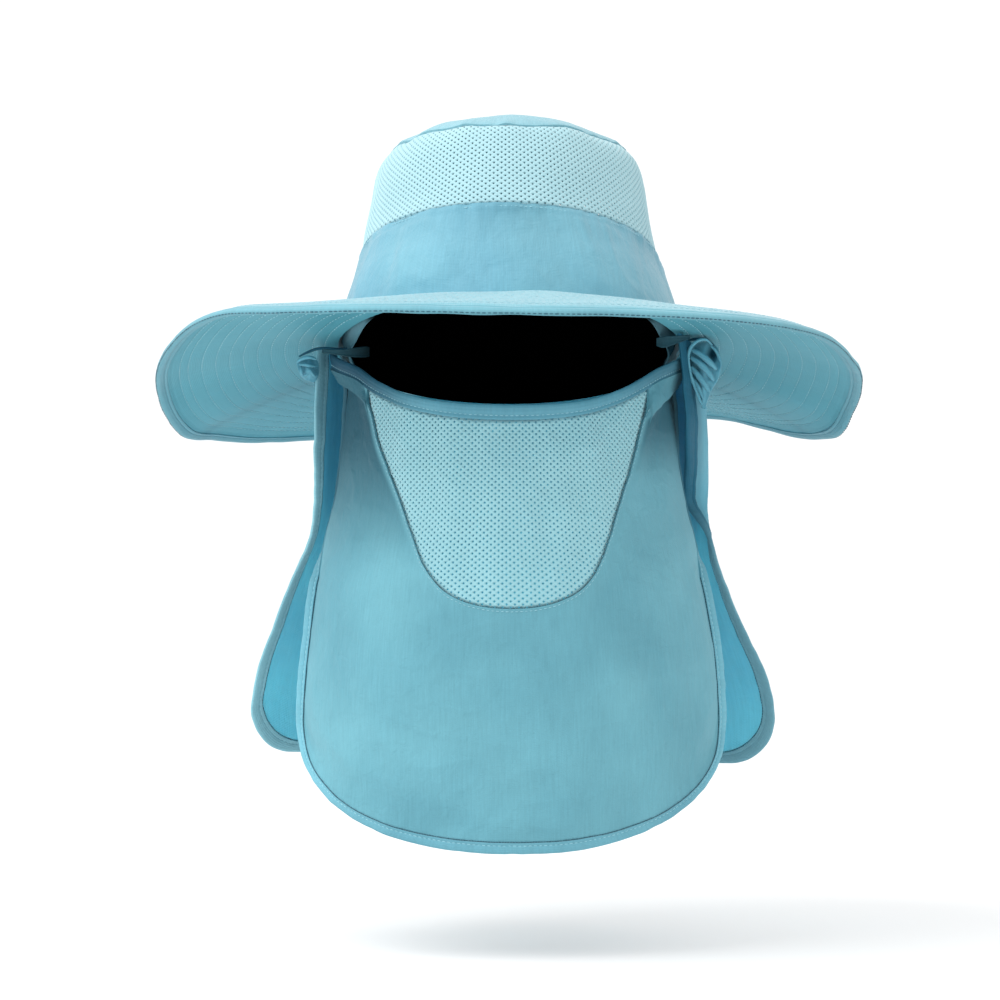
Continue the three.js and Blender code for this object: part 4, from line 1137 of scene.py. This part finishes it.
def edge_lines(outline, surface, relief, count, width, waver=0.0, seed=61, facing=1):
    """Inner line, fold line and outward normals of a tape along a sheet's edge. facing is
    -1 where the line runs the other way round the hat."""
    s = np.linspace(0, 1, count)
    inner, outer = surface(*outline(s, width)), surface(*outline(s, 0.0))
    ahead = surface(*outline(np.minimum(s + 0.004, 1), 0.0))
    behind = surface(*outline(np.maximum(s - 0.004, 0), 0.0))
    n = facing * unit(np.cross(ahead - behind, outer - inner))
    along = np.concatenate([[0], np.cumsum(np.linalg.norm(np.diff(outer, axis=0), axis=1))])
    wave = waver * ripples(along, 0 * along, 21, seed)
    wave = wave + 0.5 * waver * ripples(along, 0 * along, 9, seed + 1)
    shift = n * (relief(*outline(s, width)) + wave)[:, None]
    return inner + shift, outer + shift + unit(outer - inner) * 0.4 * wave[:, None], n


inner, outer, n = edge_lines(flap_outline, flap_point, lambda u, h: 0.6 * flap_relief(u, h), 640,
                             FLAP_TAPE, 0.2)
upper_part = smooth((outer[:, 2:] + 125) / 50)
at_right = outer[:, :1] > 0
# painted shade: deep on the right, where the edge curls in, less lower down, and none at the upper left,
# where light falls on it
in_shade = mix(np.where(at_right, 0.5, 0.25), np.where(at_right, 0.94, 0.0), upper_part)
thickness = 2.2 + 1.0 * upper_part[:, 0] * (outer[:, 0] > 0)
flap_tape = show(tape("neck_flap_edge_tape", inner, outer, n, thickness, shade=in_shade))
flap_tape.data.materials.append(FLAP_TAPE_CLOTH)
stitch("neck_flap_stitches", in_groove(inner, outer, n, 0.72), thread=FLAP_THREAD)
# painted shadow: a close row of dark thread in the groove beside the tape
seam_line = [inner * 1.05 - outer * 0.05 + n * k * 0.7 for k in (-1, 1)]
stitch("neck_flap_seam_line", seam_line, pitch=1.5, length=1.8, width=0.5, thread=SHADOW_THREAD)

# %% [markdown]
# ## Face flap
# The face flap hangs from the temples in front of the opening. It is a plain panel with a
# mesh window let into its middle, edged with tape all round. It curves round the face, so
# its rule is a height and an angle across.

# %% Face flap shape
MASK_SECTIONS = [  # height, half width, how far forward its middle stands, and its edges
    (-262, 112.4, -102, -24), (-196, 112.4, -109, -20), (-180, 111.9, -110, -19),
    (-156, 109.6, -111, -17), (-128, 105.2, -112, -15), (-101, 97.5, -112, -13),
    (-80, 92.8, -112, -12), (-53, 89, -110, -11), (0, 86, -106, -12),
]
mask_half, mask_middle, mask_edge = (curve_through(MASK_SECTIONS, k) for k in (1, 2, 3))
MASK_ANGLE = math.radians(80)
MASK_RADIUS = 92.0  # millimetres round the flap for each radian
HALF_ACROSS = 90.0  # millimetres from its middle to its side, for relief and distances
MASK_TAPE, MASK_TOP_TAPE = 6.0, 7.7
MASK_TURNED = 6.5  # how wide a strip of its side edges turns back, or flares lower down
MASK_CORNER, MASK_HEM = -196.0, 64.2  # where the round hem starts, and how deep it goes
HEM_ACROSS, HEM_DOWN = 2.4, 2.2  # powers of the hem's curve: 2 would be an ellipse
TOP_DIP = 30.1  # how much lower the top edge is in the middle than at the temples
WINDOW_EDGE = [  # place across the flap, height of the window's lower edge
    (0, -136.8), (0.12, -135.8), (0.24, -132.4), (0.35, -125.5), (0.45, -112.5),
    (0.555, -92.5), (0.67, -70), (0.745, -53), (0.79, -39), (0.83, -26),
]
window_height = curve_through(WINDOW_EDGE)
WINDOW_HALF = 0.815  # place across where the opening ends, under the top tape
WINDOW_ANGLE = math.asin(WINDOW_HALF * math.sin(MASK_ANGLE))
print("window reaches", round(math.degrees(WINDOW_ANGLE)), "degrees to each side")

# %% Face flap surface
def place_across(angle):
    """-1 at the left edge, 1 at the right one."""
    return np.sin(angle) / math.sin(MASK_ANGLE)


def window_edge(angle):
    return window_height(np.abs(place_across(angle)))


def mask_inset(angle, height):
    """How far a place lies in from the flap's side and bottom edges, in millimetres."""
    sunk = np.clip((MASK_CORNER - height) / MASK_HEM, 0, 1)
    edge = np.arcsin(math.sin(MASK_ANGLE) * (1 - sunk**HEM_DOWN) ** (1 / HEM_ACROSS))
    across = np.maximum((edge - np.abs(angle)) * MASK_RADIUS, 0)
    down = np.maximum(height - mask_bottom(angle, 0.0), 0)
    return across * down / np.maximum(np.hypot(across, down), 1e-6)


def mask_point(angle, height):
    """Down the sides the edge tape is turned back behind the cloth, and lower down it
    flares and shows its face. At the temples the corners reach outwards."""
    angle, height = np.broadcast_arrays(np.asarray(angle, float), np.asarray(height, float))
    lean = 1.1 * smooth((height + 60) / -140)
    side, place = np.sign(angle), np.abs(place_across(angle))
    from_edge = mask_inset(angle, height)
    back_turned, near = smooth((height + 125) / 25), np.clip(1 - from_edge / MASK_TURNED, 0, 1)
    flared = (1 - back_turned) * smooth((height + 250) / 45)
    valley = np.where(from_edge < MASK_TURNED, np.clip(from_edge / MASK_TURNED, 0, 1),
                      smooth((24 - from_edge) / 17.5))
    x = mask_half(height) * place_across(angle) + lean
    x = x - side * (3.2 * valley * flared + 2.5 * near**2 * back_turned)
    x = x + side * 7.5 * smooth((place - 0.86) / 0.14) * smooth((height + 26) / 18)
    back = (1 - np.cos(angle)) / (1 - math.cos(MASK_ANGLE))
    y = mix(mask_middle(height), mask_edge(height), back) - 5 * near * flared + 4 * near * back_turned
    return point(x, y, height)


def mask_normal(angle, height):
    e = 1e-3
    across = mask_point(angle + e, height) - mask_point(angle - e, height)
    down = mask_point(angle, height - 0.1) - mask_point(angle, height + 0.1)
    return -unit(np.cross(across, down))


def mask_top(angle):
    return -34.3 + TOP_DIP * np.abs(place_across(angle)) ** 3


def cloth_top(angle, gap=0.0):
    """Where the cloth ends under the top tape, which is measured square to its edge."""
    place = np.abs(place_across(angle))
    slope = np.hypot(1, TOP_DIP * 3 * place**2 / 88)
    return mask_top(angle) - (MASK_TOP_TAPE * (1 - 0.24 * smooth(place)) + gap) * slope


def inset_angle(inset):
    return MASK_ANGLE - inset / MASK_RADIUS


def mask_bottom(angle, inset):
    place = np.minimum(1, np.abs(np.sin(angle) / math.sin(inset_angle(inset))))
    return MASK_CORNER - (MASK_HEM - inset) * (1 - place**HEM_ACROSS) ** (1 / HEM_DOWN)


print("the face flap's hem is at", round(float(mask_bottom(0.0, 0.0)), 1), "mm")

# %% [markdown]
# The panel is cut round the window, so it is two arms joined by the lower part. A fold
# crosses each arm near its top: the cloth above it stands a little proud, and the cloth
# below it falls away into shade. Both are written as relief on the same curved surface,
# and the shade is also painted into the cloth's colour, deep below the fold and lighter
# above it.

# %% Face flap relief
ARM_STEP = 1.6  # millimetres over which the cloth steps up at an arm's fold


def window_distance(angle, height):
    """How far a place is outside the window's edge, in millimetres, or inside it, below 0."""
    place, height = np.broadcast_arrays(place_across(angle), height)
    nearest = np.full(place.shape, 1e3)
    for at in np.linspace(-0.83, 0.83, 240):
        away = np.hypot((place - at) * HALF_ACROSS, height - window_height(abs(at)))
        nearest = np.minimum(nearest, away)
    return np.where((np.abs(place) < 0.83) & (height > window_height(np.abs(place))), -nearest, nearest)


def arm_fold(angle):
    """Height of the fold that crosses each arm, from the window up to the side edge."""
    out = np.clip((np.abs(place_across(angle)) - WINDOW_HALF) / 0.185, 0, 1)
    return np.where(angle < 0, mix(-33.5, -20.5, out), mix(-40.0, -23.0, out))


def mask_relief(angle, height):
    """The cloth's unevenness, calmer beside the tape, and the step at each arm's fold."""
    x = place_across(angle) * HALF_ACROSS
    outside = window_distance(angle, height)
    soft = 1.1 * ripples(x, height, 66, 71, 1.2) + 0.35 * ripples(x, height, 21, 72, 1.5)
    creases_and_patches = 0.42 * creases(x, height, 30, 73) - 0.2
    hem = 0.6 * ripples(x, height, 12, 74, 2) * np.exp(-np.maximum(height - mask_bottom(angle, 6), 0) / 12)
    over = height - arm_fold(angle)
    pleat = 1.5 * smooth(over / ARM_STEP + 0.5) * smooth(outside / 2)
    hollow = -2.4 * np.exp(np.minimum(over, 0) / 26) * smooth(0.5 - over / ARM_STEP)
    hollow = hollow * smooth((outside - 3) / 7)
    calm = mix(0.6, 1.0, smooth((mask_inset(angle, height) - MASK_TAPE) / 10))
    return (soft + creases_and_patches + hem) * calm, pleat + hollow


def mask_shade(angle, height):
    """Painted shade: deep under the arm's fold, fading down the arm, and less deep above the fold."""
    outside, over = window_distance(angle, height), height - arm_fold(angle)
    below = smooth(0.5 - over / ARM_STEP) * smooth((outside - 0.5) / 3)
    side = np.where(angle < 0, 0.9 * smooth((height + 125) / 80), 0.8 * smooth((height + 78) / 40))
    # the cloth is also a little darker in soft random patches
    creases_and_patches = 0.07 * smooth(0.5 + 0.5 * ripples(place_across(angle) * HALF_ACROSS, height, 42, 76))
    above = np.where(angle < 0, 0.68, 0.2) * smooth(over / ARM_STEP + 0.5) * (outside > 0)
    return creases_and_patches + side * below * 0.95 + above


def mask_outside(angle, height):
    """The panel's outer face, a little raised along the window's seam."""
    soft, pleat = mask_relief(angle, height)
    edge = 0.22 * smooth((1.9 - window_distance(angle, height)) / 0.8)
    return mask_point(angle, height) + mask_normal(angle, height) * (soft + pleat + edge + 0.5)[..., None]


print("fold crosses the left arm at", float(arm_fold(-MASK_ANGLE)), "mm at its side")

# %% Face flap panel
MASK_ROWS, MASK_SIDE_COLUMNS, MASK_MIDDLE_COLUMNS = 120, 60, 150
out = even_out(np.linspace(0, 1, MASK_SIDE_COLUMNS + 1)[1:])
side_angles = mix(WINDOW_ANGLE, inset_angle(MASK_TAPE - 1.5), out)
middle_angles = np.linspace(-WINDOW_ANGLE, WINDOW_ANGLE, MASK_MIDDLE_COLUMNS)
angles = np.concatenate([-side_angles[::-1], middle_angles, side_angles])
angle = angles[None, :] + np.zeros((MASK_ROWS, 1))
in_window = np.abs(angles) < WINDOW_ANGLE + 1e-9
under_window = np.minimum(window_edge(angles), cloth_top(angles))
top = np.where(in_window, under_window, cloth_top(angles) + 1.0)
v = np.linspace(0, 1, MASK_ROWS)[:, None] ** 1.15
height = mix(top[None, :], mask_bottom(angle, MASK_TAPE - 1.5), v)
mask_panel = show(cloth("face_flap_cloth", mask_outside(angle, height), 1.0,
                        normals=mask_normal(angle, height), shade=mask_shade(angle, height)))
mask_panel.data.materials.append(MASK_NYLON)

# %% [markdown]
# The window is a piece of the same warp knit, cut 3 mm wider than its opening and sewn in
# from behind. It is draped over the flap's own surface, so it bends with the panel.

# %% Face flap window
NET_RADIUS = 105.0  # millimetres of flat mesh for each radian round the face flap


def window_lift(angle, height):
    soft, _ = mask_relief(angle, height)
    outside = window_distance(angle, height)
    vertical = 0.5 * ripples(place_across(angle) * HALF_ACROSS, height, 17, 75, 5)
    under_tape = 1.2 * smooth((height - cloth_top(angle) + 1.4) / 1.4)
    return soft + vertical * smooth(-outside / 10) - 1.1 * smooth((outside + 1.6) / 1.6) - under_tape - 0.1


def window_drape(x, y):
    angle = x / NET_RADIUS
    n = mask_normal(angle, y)
    return mask_point(angle, y) + n * window_lift(angle, y)[:, None], n


def net_edge(angle):
    """The net's lower edge, 3 mm outside the window's."""
    across = abs(place_across(angle))
    slope = float(window_height(across + 0.01) - window_height(across - 0.01)) / (0.02 * MASK_RADIUS)
    return min(float(window_height(across)) - 3.0 * math.hypot(1, slope), float(cloth_top(angle)) + 1.9)


across = np.linspace(-WINDOW_ANGLE - 0.035, WINDOW_ANGLE + 0.035, 141)
upper = [(a * NET_RADIUS, float(cloth_top(a)) + 2.0) for a in across[::-1]]
lower = [(a * NET_RADIUS, net_edge(a)) for a in across]
net_half = NET_RADIUS * WINDOW_ANGLE + 4
window_net = perforated("face_flap_mesh_cloth", lower + upper, (-net_half, -142), (net_half, -10),
                        4.0, 1.5, 0.6, MASK_KNIT, window_drape)

# %% Face flap tapes
def mask_outline(s, inset):
    side, down, across = round_edge(s, 8 / 48)
    edge = inset_angle(inset)
    beside = mix(cloth_top(edge, 0.6), MASK_CORNER, np.minimum(down, 1))
    angle = np.where(down < 1, side * edge, across * edge)
    return angle, np.where(down < 1, beside, mask_bottom(angle, inset))


inner, outer, n = edge_lines(mask_outline, mask_point, lambda a, h: mask_relief(a, h)[0], 620,
                             MASK_TAPE, 0.2, 64, facing=-1)
# painted shade: dark up the sides, where the tape is turned back, and a little along the hem
in_shade = 0.8 * smooth((outer[:, 2:] + 150) / 80) + 0.2 * smooth((-222 - outer[:, 2:]) / 24)
mask_tape = show(tape("face_flap_edge_tape", inner, outer, n, 2.2, shade=in_shade))
mask_tape.data.materials.append(TAPE_CLOTH)
stitch("face_flap_stitches", in_groove(inner, outer, n, 0.76))
# painted shadow beside the tape: a close row of dark thread
beside_tape = mask_outline(np.linspace(0.1, 0.9, 620), MASK_TAPE + 0.2)
seam_line = mask_outside(*beside_tape) + mask_normal(*beside_tape) * 0.3
stitch("face_flap_seam_line", [seam_line], pitch=1.4, length=1.8, width=0.65, thread=SHADOW_THREAD)

# %% Face flap's top tape
a = np.linspace(-MASK_ANGLE, MASK_ANGLE, 300)
n = mask_normal(a, mask_top(a) - 4)
lift = n * (mask_relief(a, cloth_top(a))[0] + 0.4)[:, None]
inner, outer = mask_point(a, cloth_top(a)) + lift, mask_point(a, mask_top(a)) + lift
place = np.abs(place_across(a))
# painted shade towards the temples, deepest on the left
in_shade = np.where(a < 0, 0.95 * smooth((place - 0.4) / 0.5), 0.5 * smooth((place - 0.55) / 0.4))[:, None]
top_tape = show(tape("face_flap_top_tape", inner, outer, n, 2.4, shade=in_shade))
top_tape.data.materials.append(TOP_TAPE_CLOTH)
stitch("face_flap_top_stitches", in_groove(inner, outer, n, 0.86))

# %% [markdown]
# A row of stitches runs beside the window and another under the band's folded edge. Where
# two layers meet, the groove between them lies in shade, painted as a close row of dark
# thread.

# %% Stitches of the window and the band
across = np.linspace(-WINDOW_ANGLE + 0.02, WINDOW_ANGLE - 0.02, 260)
edge_height = np.minimum(window_edge(across) - 1.4, cloth_top(across) - 1.5)
seam_line = mask_outside(across, edge_height) + mask_normal(across, edge_height) * 0.1
stitch("window_stitches", [seam_line], pitch=2.4, length=1.7, width=0.4)
edge_height = np.minimum(window_edge(across) + 0.15, cloth_top(across) - 0.5)
seam_line = mask_outside(across, edge_height) - mask_normal(across, edge_height) * 0.15
stitch("window_seam_line", [seam_line], pitch=1.3, length=1.6, width=0.5, thread=SHADOW_THREAD)

turns = np.linspace(-np.pi, np.pi, 400)
h = band_seam(turns) - 2.1
line = tilt(crown_point(turns, h) + crown_normal(turns, h) * 0.3)
stitch("band_stitches", [line])
h = band_seam(turns) + 0.15
line = tilt(crown_point(turns, h) + crown_normal(turns, h) * 0.05)
stitch("band_seam_line", [line], pitch=1.6, length=1.7, thread=FLAP_THREAD)

# %% [markdown]
# ## Strap ends and bunched corners
# A short strap end lies on the lining at each temple. The neck flap's top corners are
# bunched under the brim: gathered cloth, with a few soft rolls laid over it. Their folds
# follow no rule, so they are drawn from the picture, and `from_photo` turns a pixel and a
# depth into a place on the hat.

# %% Places from the picture
def from_photo(px, py, y):
    """The place at depth y that shows at a pixel of the picture, in millimetres."""
    px, py, y = (np.asarray(k, float) for k in (px, py, y))
    scale = MM_PER_PIXEL * (CAMERA_DISTANCE + y) / CAMERA_DISTANCE
    middle = PIXELS / 2
    return point((px - middle) * scale + CAMERA_X, y, (middle - py) * scale + CAMERA_Z)


def along_places(places, count):
    """A smooth line through a few places, as count points."""
    places = np.array(places, float)
    steps = np.concatenate([[0], np.cumsum(np.linalg.norm(np.diff(places, axis=0), axis=1))])
    t = np.linspace(0, steps[-1], count)
    curves = [curve_through(list(zip(steps, column))) for column in places.T]
    return np.stack([curve(t) for curve in curves], axis=1)


def below_brim(p, gap):
    """Lowers places that would be less than gap below the brim."""
    p[..., 2] = np.minimum(p[..., 2], under_brim(p[..., 0], p[..., 1]) - gap)
    return p


def roll_between(name, places, radius, material, shade, sides=12, count=36):
    """A soft roll of cloth through places in the picture, thinner at its ends."""
    line = below_brim(from_photo(*along_places(places, count).T), radius + 0.4)
    ahead = unit(np.gradient(line, axis=0))
    side = unit(np.cross(ahead, (0.0, 1.0, 0.0)))
    other = np.cross(ahead, side)
    turn = 2 * np.pi * np.arange(sides) / sides
    size = radius * (0.3 + 0.7 * np.sin(np.pi * np.linspace(0.05, 0.95, count)) ** 0.6)
    ring = side[:, None] * np.cos(turn)[None, :, None] + other[:, None] * np.sin(turn)[None, :, None]
    grid = (line[:, None] + ring * size[:, None, None]).swapaxes(0, 1)
    c, r = [k.ravel() for k in np.meshgrid(np.arange(sides), np.arange(count - 1), indexing="ij")]
    at = [(c, r), (c, r + 1), (c + 1, r + 1), (c + 1, r)]
    faces = np.stack([cc % sides * count + rr for cc, rr in at], axis=1).tolist()
    faces += [[k * count for k in range(sides)], [k * count + count - 1 for k in range(sides)]]
    uv = np.stack([[cc * 0.6, rr * 0.8] for cc, rr in at]).transpose(2, 0, 1).reshape(-1, 2)
    uv = np.concatenate([uv, np.zeros((2 * sides, 2))]) * MM
    made = make_piece(name, grid, faces, uv, np.full(sides * count, float(shade)), sharp=70)
    made.data.materials.append(material)
    return made


print("the picture's middle is at", from_photo(500, 500, 0).round(1).tolist())

# %% Strap ends
STRAPS = {  # places along each strap: pixel across, its upper edge, its lower edge, depth
    "tab_left_strap": [(322, 350, 351.6, -36), (331, 350, 353.6, -38), (340, 349.6, 355.4, -40),
                       (348, 348.8, 356.8, -40), (357, 347.4, 357.4, -40), (366, 346.4, 357.4, -39),
                       (369.5, 347, 356.5, -38)],
    "tab_right_strap": [(690, 335, 338.5, -36), (681, 335.4, 342.2, -38), (672, 335.8, 345.4, -40),
                        (663, 336.6, 347.8, -40), (656.5, 338, 346, -39)],
}
for name, rows in STRAPS.items():
    line = along_places(rows, 40)
    v = np.linspace(0, 1, 12)[:, None]
    edge = 0.35 * (bump(v, 0.1, 0.07) + bump(v, 0.9, 0.07))
    grid = from_photo(line[None, :, 0], mix(line[None, :, 1], line[None, :, 2], v), line[None, :, 3] - edge)
    out = grid_normals(grid)
    out *= -np.sign(out[..., 1:2].mean())
    # painted shade: the strap ends lie in shade, darkest towards the left one's inner end
    in_shade = np.linspace(0.6, 1.0, 40) if "left" in name else np.full(40, 0.75)
    made = show(cloth(name, grid, 1.0, normals=out, shade=in_shade[None, :]))
    made.data.materials.append(STRAP_CLOTH)

# %% Bunched corners
corner_pieces = {"left": [], "right": []}


def gathered(name, left, right, depth, folds, seed, hollow=None):
    """Cloth gathered between two edges drawn in the picture, with folds that fan out, and
    painted shade between them. hollow is a place where it sinks in, painted dark with shade:
    pixel across and down, width and height."""
    rows, columns = 60, 44
    a, b = along_places(left, rows), along_places(right, rows)
    s = np.linspace(0, 1, columns)[None, :]
    t = np.linspace(0, 1, rows)[:, None]
    px, py = mix(a[:, :1], b[:, :1], s), mix(a[:, 1:2], b[:, 1:2], s)
    ridges = 0.5 + 0.5 * np.cos(2 * np.pi * folds * s + 1.5 * np.sin(3 * t))
    y = depth - 3.5 * np.sin(np.pi * s) * np.sin(np.pi * t)
    y = y - 1.6 * ridges * np.sin(np.pi * np.clip(t * 1.1, 0, 1))
    y = y + 0.4 * ripples(px, py, 9, seed)
    # painted shade between the ridges, and in the hollow below
    shade = 0.25 * (1 - ridges) ** 2 + 0.08
    if hollow:
        hx, hy, width, tall = hollow
        inside = np.exp(-(((px - hx) / width) ** 2) - ((py - hy) / tall) ** 2)
        y, shade = y + 6 * inside, shade + 0.9 * inside
    grid = below_brim(from_photo(px, py, y), 1.8)
    out = grid_normals(grid)
    out *= -np.sign(out[..., 1:2].mean())
    made = cloth(name, grid, 1.2, normals=out, shade=np.clip(shade, 0, 1))
    made.data.materials.append(OUTER_NYLON)
    return made


corner_pieces["left"].append(gathered(
    "flap_corner_left_cloth", [(300, 359), (297, 363), (298, 369), (300, 375), (305, 380)],
    [(313, 357), (318, 362), (319, 369), (318, 377), (314, 383)], -18, 1.3, 91))
corner_pieces["right"].append(gathered(
    "flap_corner_right_cloth",
    [(705, 340), (696, 342), (690, 348), (688, 358), (690, 373), (696, 389), (702, 408)],
    [(711, 343), (717, 350), (720, 359), (720, 369), (717, 381), (711, 392), (705, 409)], -23, 1.6, 92,
    (712, 354, 5.5, 7)))
# The last column is painted shade. The last roll on each side lies wholly in it: a dark roll painted for
# the shadowed gap between the flap's top and the brim.
LEFT_ROLLS = [  # places in the picture, radius, how deep in shade
    ([(297, 362, -20), (303, 358.4, -22), (309, 357.4, -23), (316, 359, -22)], 1.0, 0.0),
    ([(299.5, 364.5, -21), (307, 365, -23), (315, 366.5, -22)], 0.9, 0.05),
    ([(301, 366, -21), (301.2, 370, -22), (302.5, 375, -21)], 0.8, 0.05),
    ([(306, 367.5, -21.5), (310.5, 371, -23), (315.5, 377, -21)], 0.9, 0.05),
    ([(303, 376.5, -20), (309, 373.5, -22), (313, 370, -22)], 0.7, 0.1),
    ([(299, 356.5, -19), (307, 352.6, -22), (316, 349.2, -24), (326, 348.4, -26), (337, 349, -24),
      (347, 348, -18)], 0.8, 1.0),
]
RIGHT_ROLLS = [
    ([(712, 345, -24), (706, 339.8, -28), (698, 340.8, -30), (691, 347, -31), (688, 357, -31),
      (690, 373, -30), (696, 390, -27), (702, 405, -24)], 1.0, 0.0),
    ([(692, 350, -29), (700, 354, -31), (709, 361.5, -30), (716, 369, -25)], 1.6, 0.08),
    ([(691, 357.5, -29), (699, 363, -31), (707, 371, -29.5), (713.5, 380, -25)], 1.7, 0.12),
    ([(691.5, 367, -29), (697, 374, -30), (703, 382, -28.5), (709, 391, -24)], 1.6, 0.16),
    ([(694, 379, -28), (698, 387, -28), (703, 398, -25)], 1.1, 0.2),
    ([(711, 346, -25), (716.5, 352, -24), (719.6, 361, -22), (719.4, 371, -21), (716, 382, -20)], 0.9, 0.0),
    ([(681, 332.6, -20), (690, 333.6, -24), (699, 336, -26), (708, 340.5, -26), (714, 345.5, -23)],
     0.8, 1.0),
]
for side, rolls in (("left", LEFT_ROLLS), ("right", RIGHT_ROLLS)):
    for k, (places, radius, shade) in enumerate(rolls):
        name = f"flap_corner_{side}_fold_{k}"
        corner_pieces[side].append(roll_between(name, places, radius, OUTER_NYLON, shade))
print("bunched corners:", {k: len(v) for k, v in corner_pieces.items()})

# %% [markdown]
# ## Standing for the CAD
# Every piece rides on the one body, and the CAD solid that it stands for is hidden.

# %% Ride and replace
PIECES = {  # CAD node: (pieces that stand for it, finish)
    "crown_tip": (["crown_tip_cloth"], "nylon_cloth"),
    "crown_mesh": (["crown_mesh_cloth", "crown_side_seam_left", "crown_side_seam_right"], "mesh_cloth"),
    "crown_band": (["crown_band_cloth", "band_stitches", "band_seam_line"], "nylon_cloth"),
    "crown_lining": (["crown_lining_painted_shade"], "black_lining"),
    "tab_left": (["tab_left_strap"], "binding_tape"),
    "tab_right": (["tab_right_strap"], "binding_tape"),
    "brim": (["brim_cloth", "brim_stitches_upper", "brim_stitches_under"], "nylon_cloth"),
    "brim_binding": (["brim_edge_tape", "brim_edge_stitches"], "binding_tape"),
    "neck_flap": (["neck_flap_cloth"], "nylon_cloth"),
    "flap_roll_left": ([p.name for p in corner_pieces["left"]], "nylon_cloth"),
    "flap_roll_right": ([p.name for p in corner_pieces["right"]], "nylon_cloth"),
    "neck_flap_binding": (["neck_flap_edge_tape", "neck_flap_stitches", "neck_flap_seam_line"],
                          "binding_tape"),
    "face_flap": (["face_flap_cloth", "window_stitches", "window_seam_line"], "nylon_cloth"),
    "face_flap_mesh": (["face_flap_mesh_cloth"], "mesh_cloth"),
    "face_flap_binding": (["face_flap_edge_tape", "face_flap_stitches", "face_flap_seam_line"],
                          "binding_tape"),
    "face_flap_top_binding": (["face_flap_top_tape", "face_flap_top_stitches"], "binding_tape"),
}
for node, (names, finish) in PIECES.items():
    for name in names:
        piece = bpy.data.objects[name]
        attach(piece, "root")
        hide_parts(node)
print("pieces:", sum(len(names) for names, _ in PIECES.values()))

# %% [markdown]
# The cloths that hang or are stretched are listed by name.

# %% Sheets
print("declared:", [sheet.name for sheet in (neck_flap, mask_panel, window_net, crown_net, crown_band)])

# %% [markdown]
# ## Studio
# The picture is bright and almost shadowless: white all round, a large soft light high on
# the left, and a pale floor a little below the flaps that catches a faint shadow. The floor
# is matt paper that glows a little, as on a lit table, so it comes out nearly white.

# %% Floor, world and light
FLOOR_Z = -0.315  # metres
floor_mesh = bpy.data.meshes.new("floor")
corners = [(x, y, FLOOR_Z) for x, y in ((-9, -6), (9, -6), (9, 14), (-9, 14))]
floor_mesh.from_pydata(corners, [], [(0, 1, 2, 3)])
floor = new_object("floor", floor_mesh)
PAPER = {"Base Color": linear("#d0d0d0"), "Emission Color": (1, 1, 1, 1), "Emission Strength": 0.35,
         "Roughness": 0.9, "Specular IOR Level": 0.0}
paper = bpy.data.materials.new("white_paper")
paper.use_nodes = True
for label, value in PAPER.items():
    paper.node_tree.nodes["Principled BSDF"].inputs[label].default_value = value
floor_mesh.materials.append(paper)

world = bpy.data.worlds.new("studio")
bpy.context.scene.world = world
world.use_nodes = True
world.node_tree.nodes["Background"].inputs["Color"].default_value = (1, 1, 1, 1)
world.node_tree.nodes["Background"].inputs["Strength"].default_value = 1.08
bpy.context.scene.view_settings.view_transform = "Standard"

KEY_AT = Vector((-1.25, -0.65, 1.63))  # metres; the light is turned to the hat's middle
key_data = bpy.data.lights.new("key", "AREA")
key_data.shape, key_data.size, key_data.energy = "DISK", 2.0, 38
key = bpy.data.objects.new("key", key_data)
key.location = KEY_AT
key.rotation_euler = (-KEY_AT).to_track_quat("-Z", "Y").to_euler()
bpy.context.scene.collection.objects.link(key)
print(f"key light: {key_data.energy:.0f} W, {KEY_AT.length:.2f} m away")
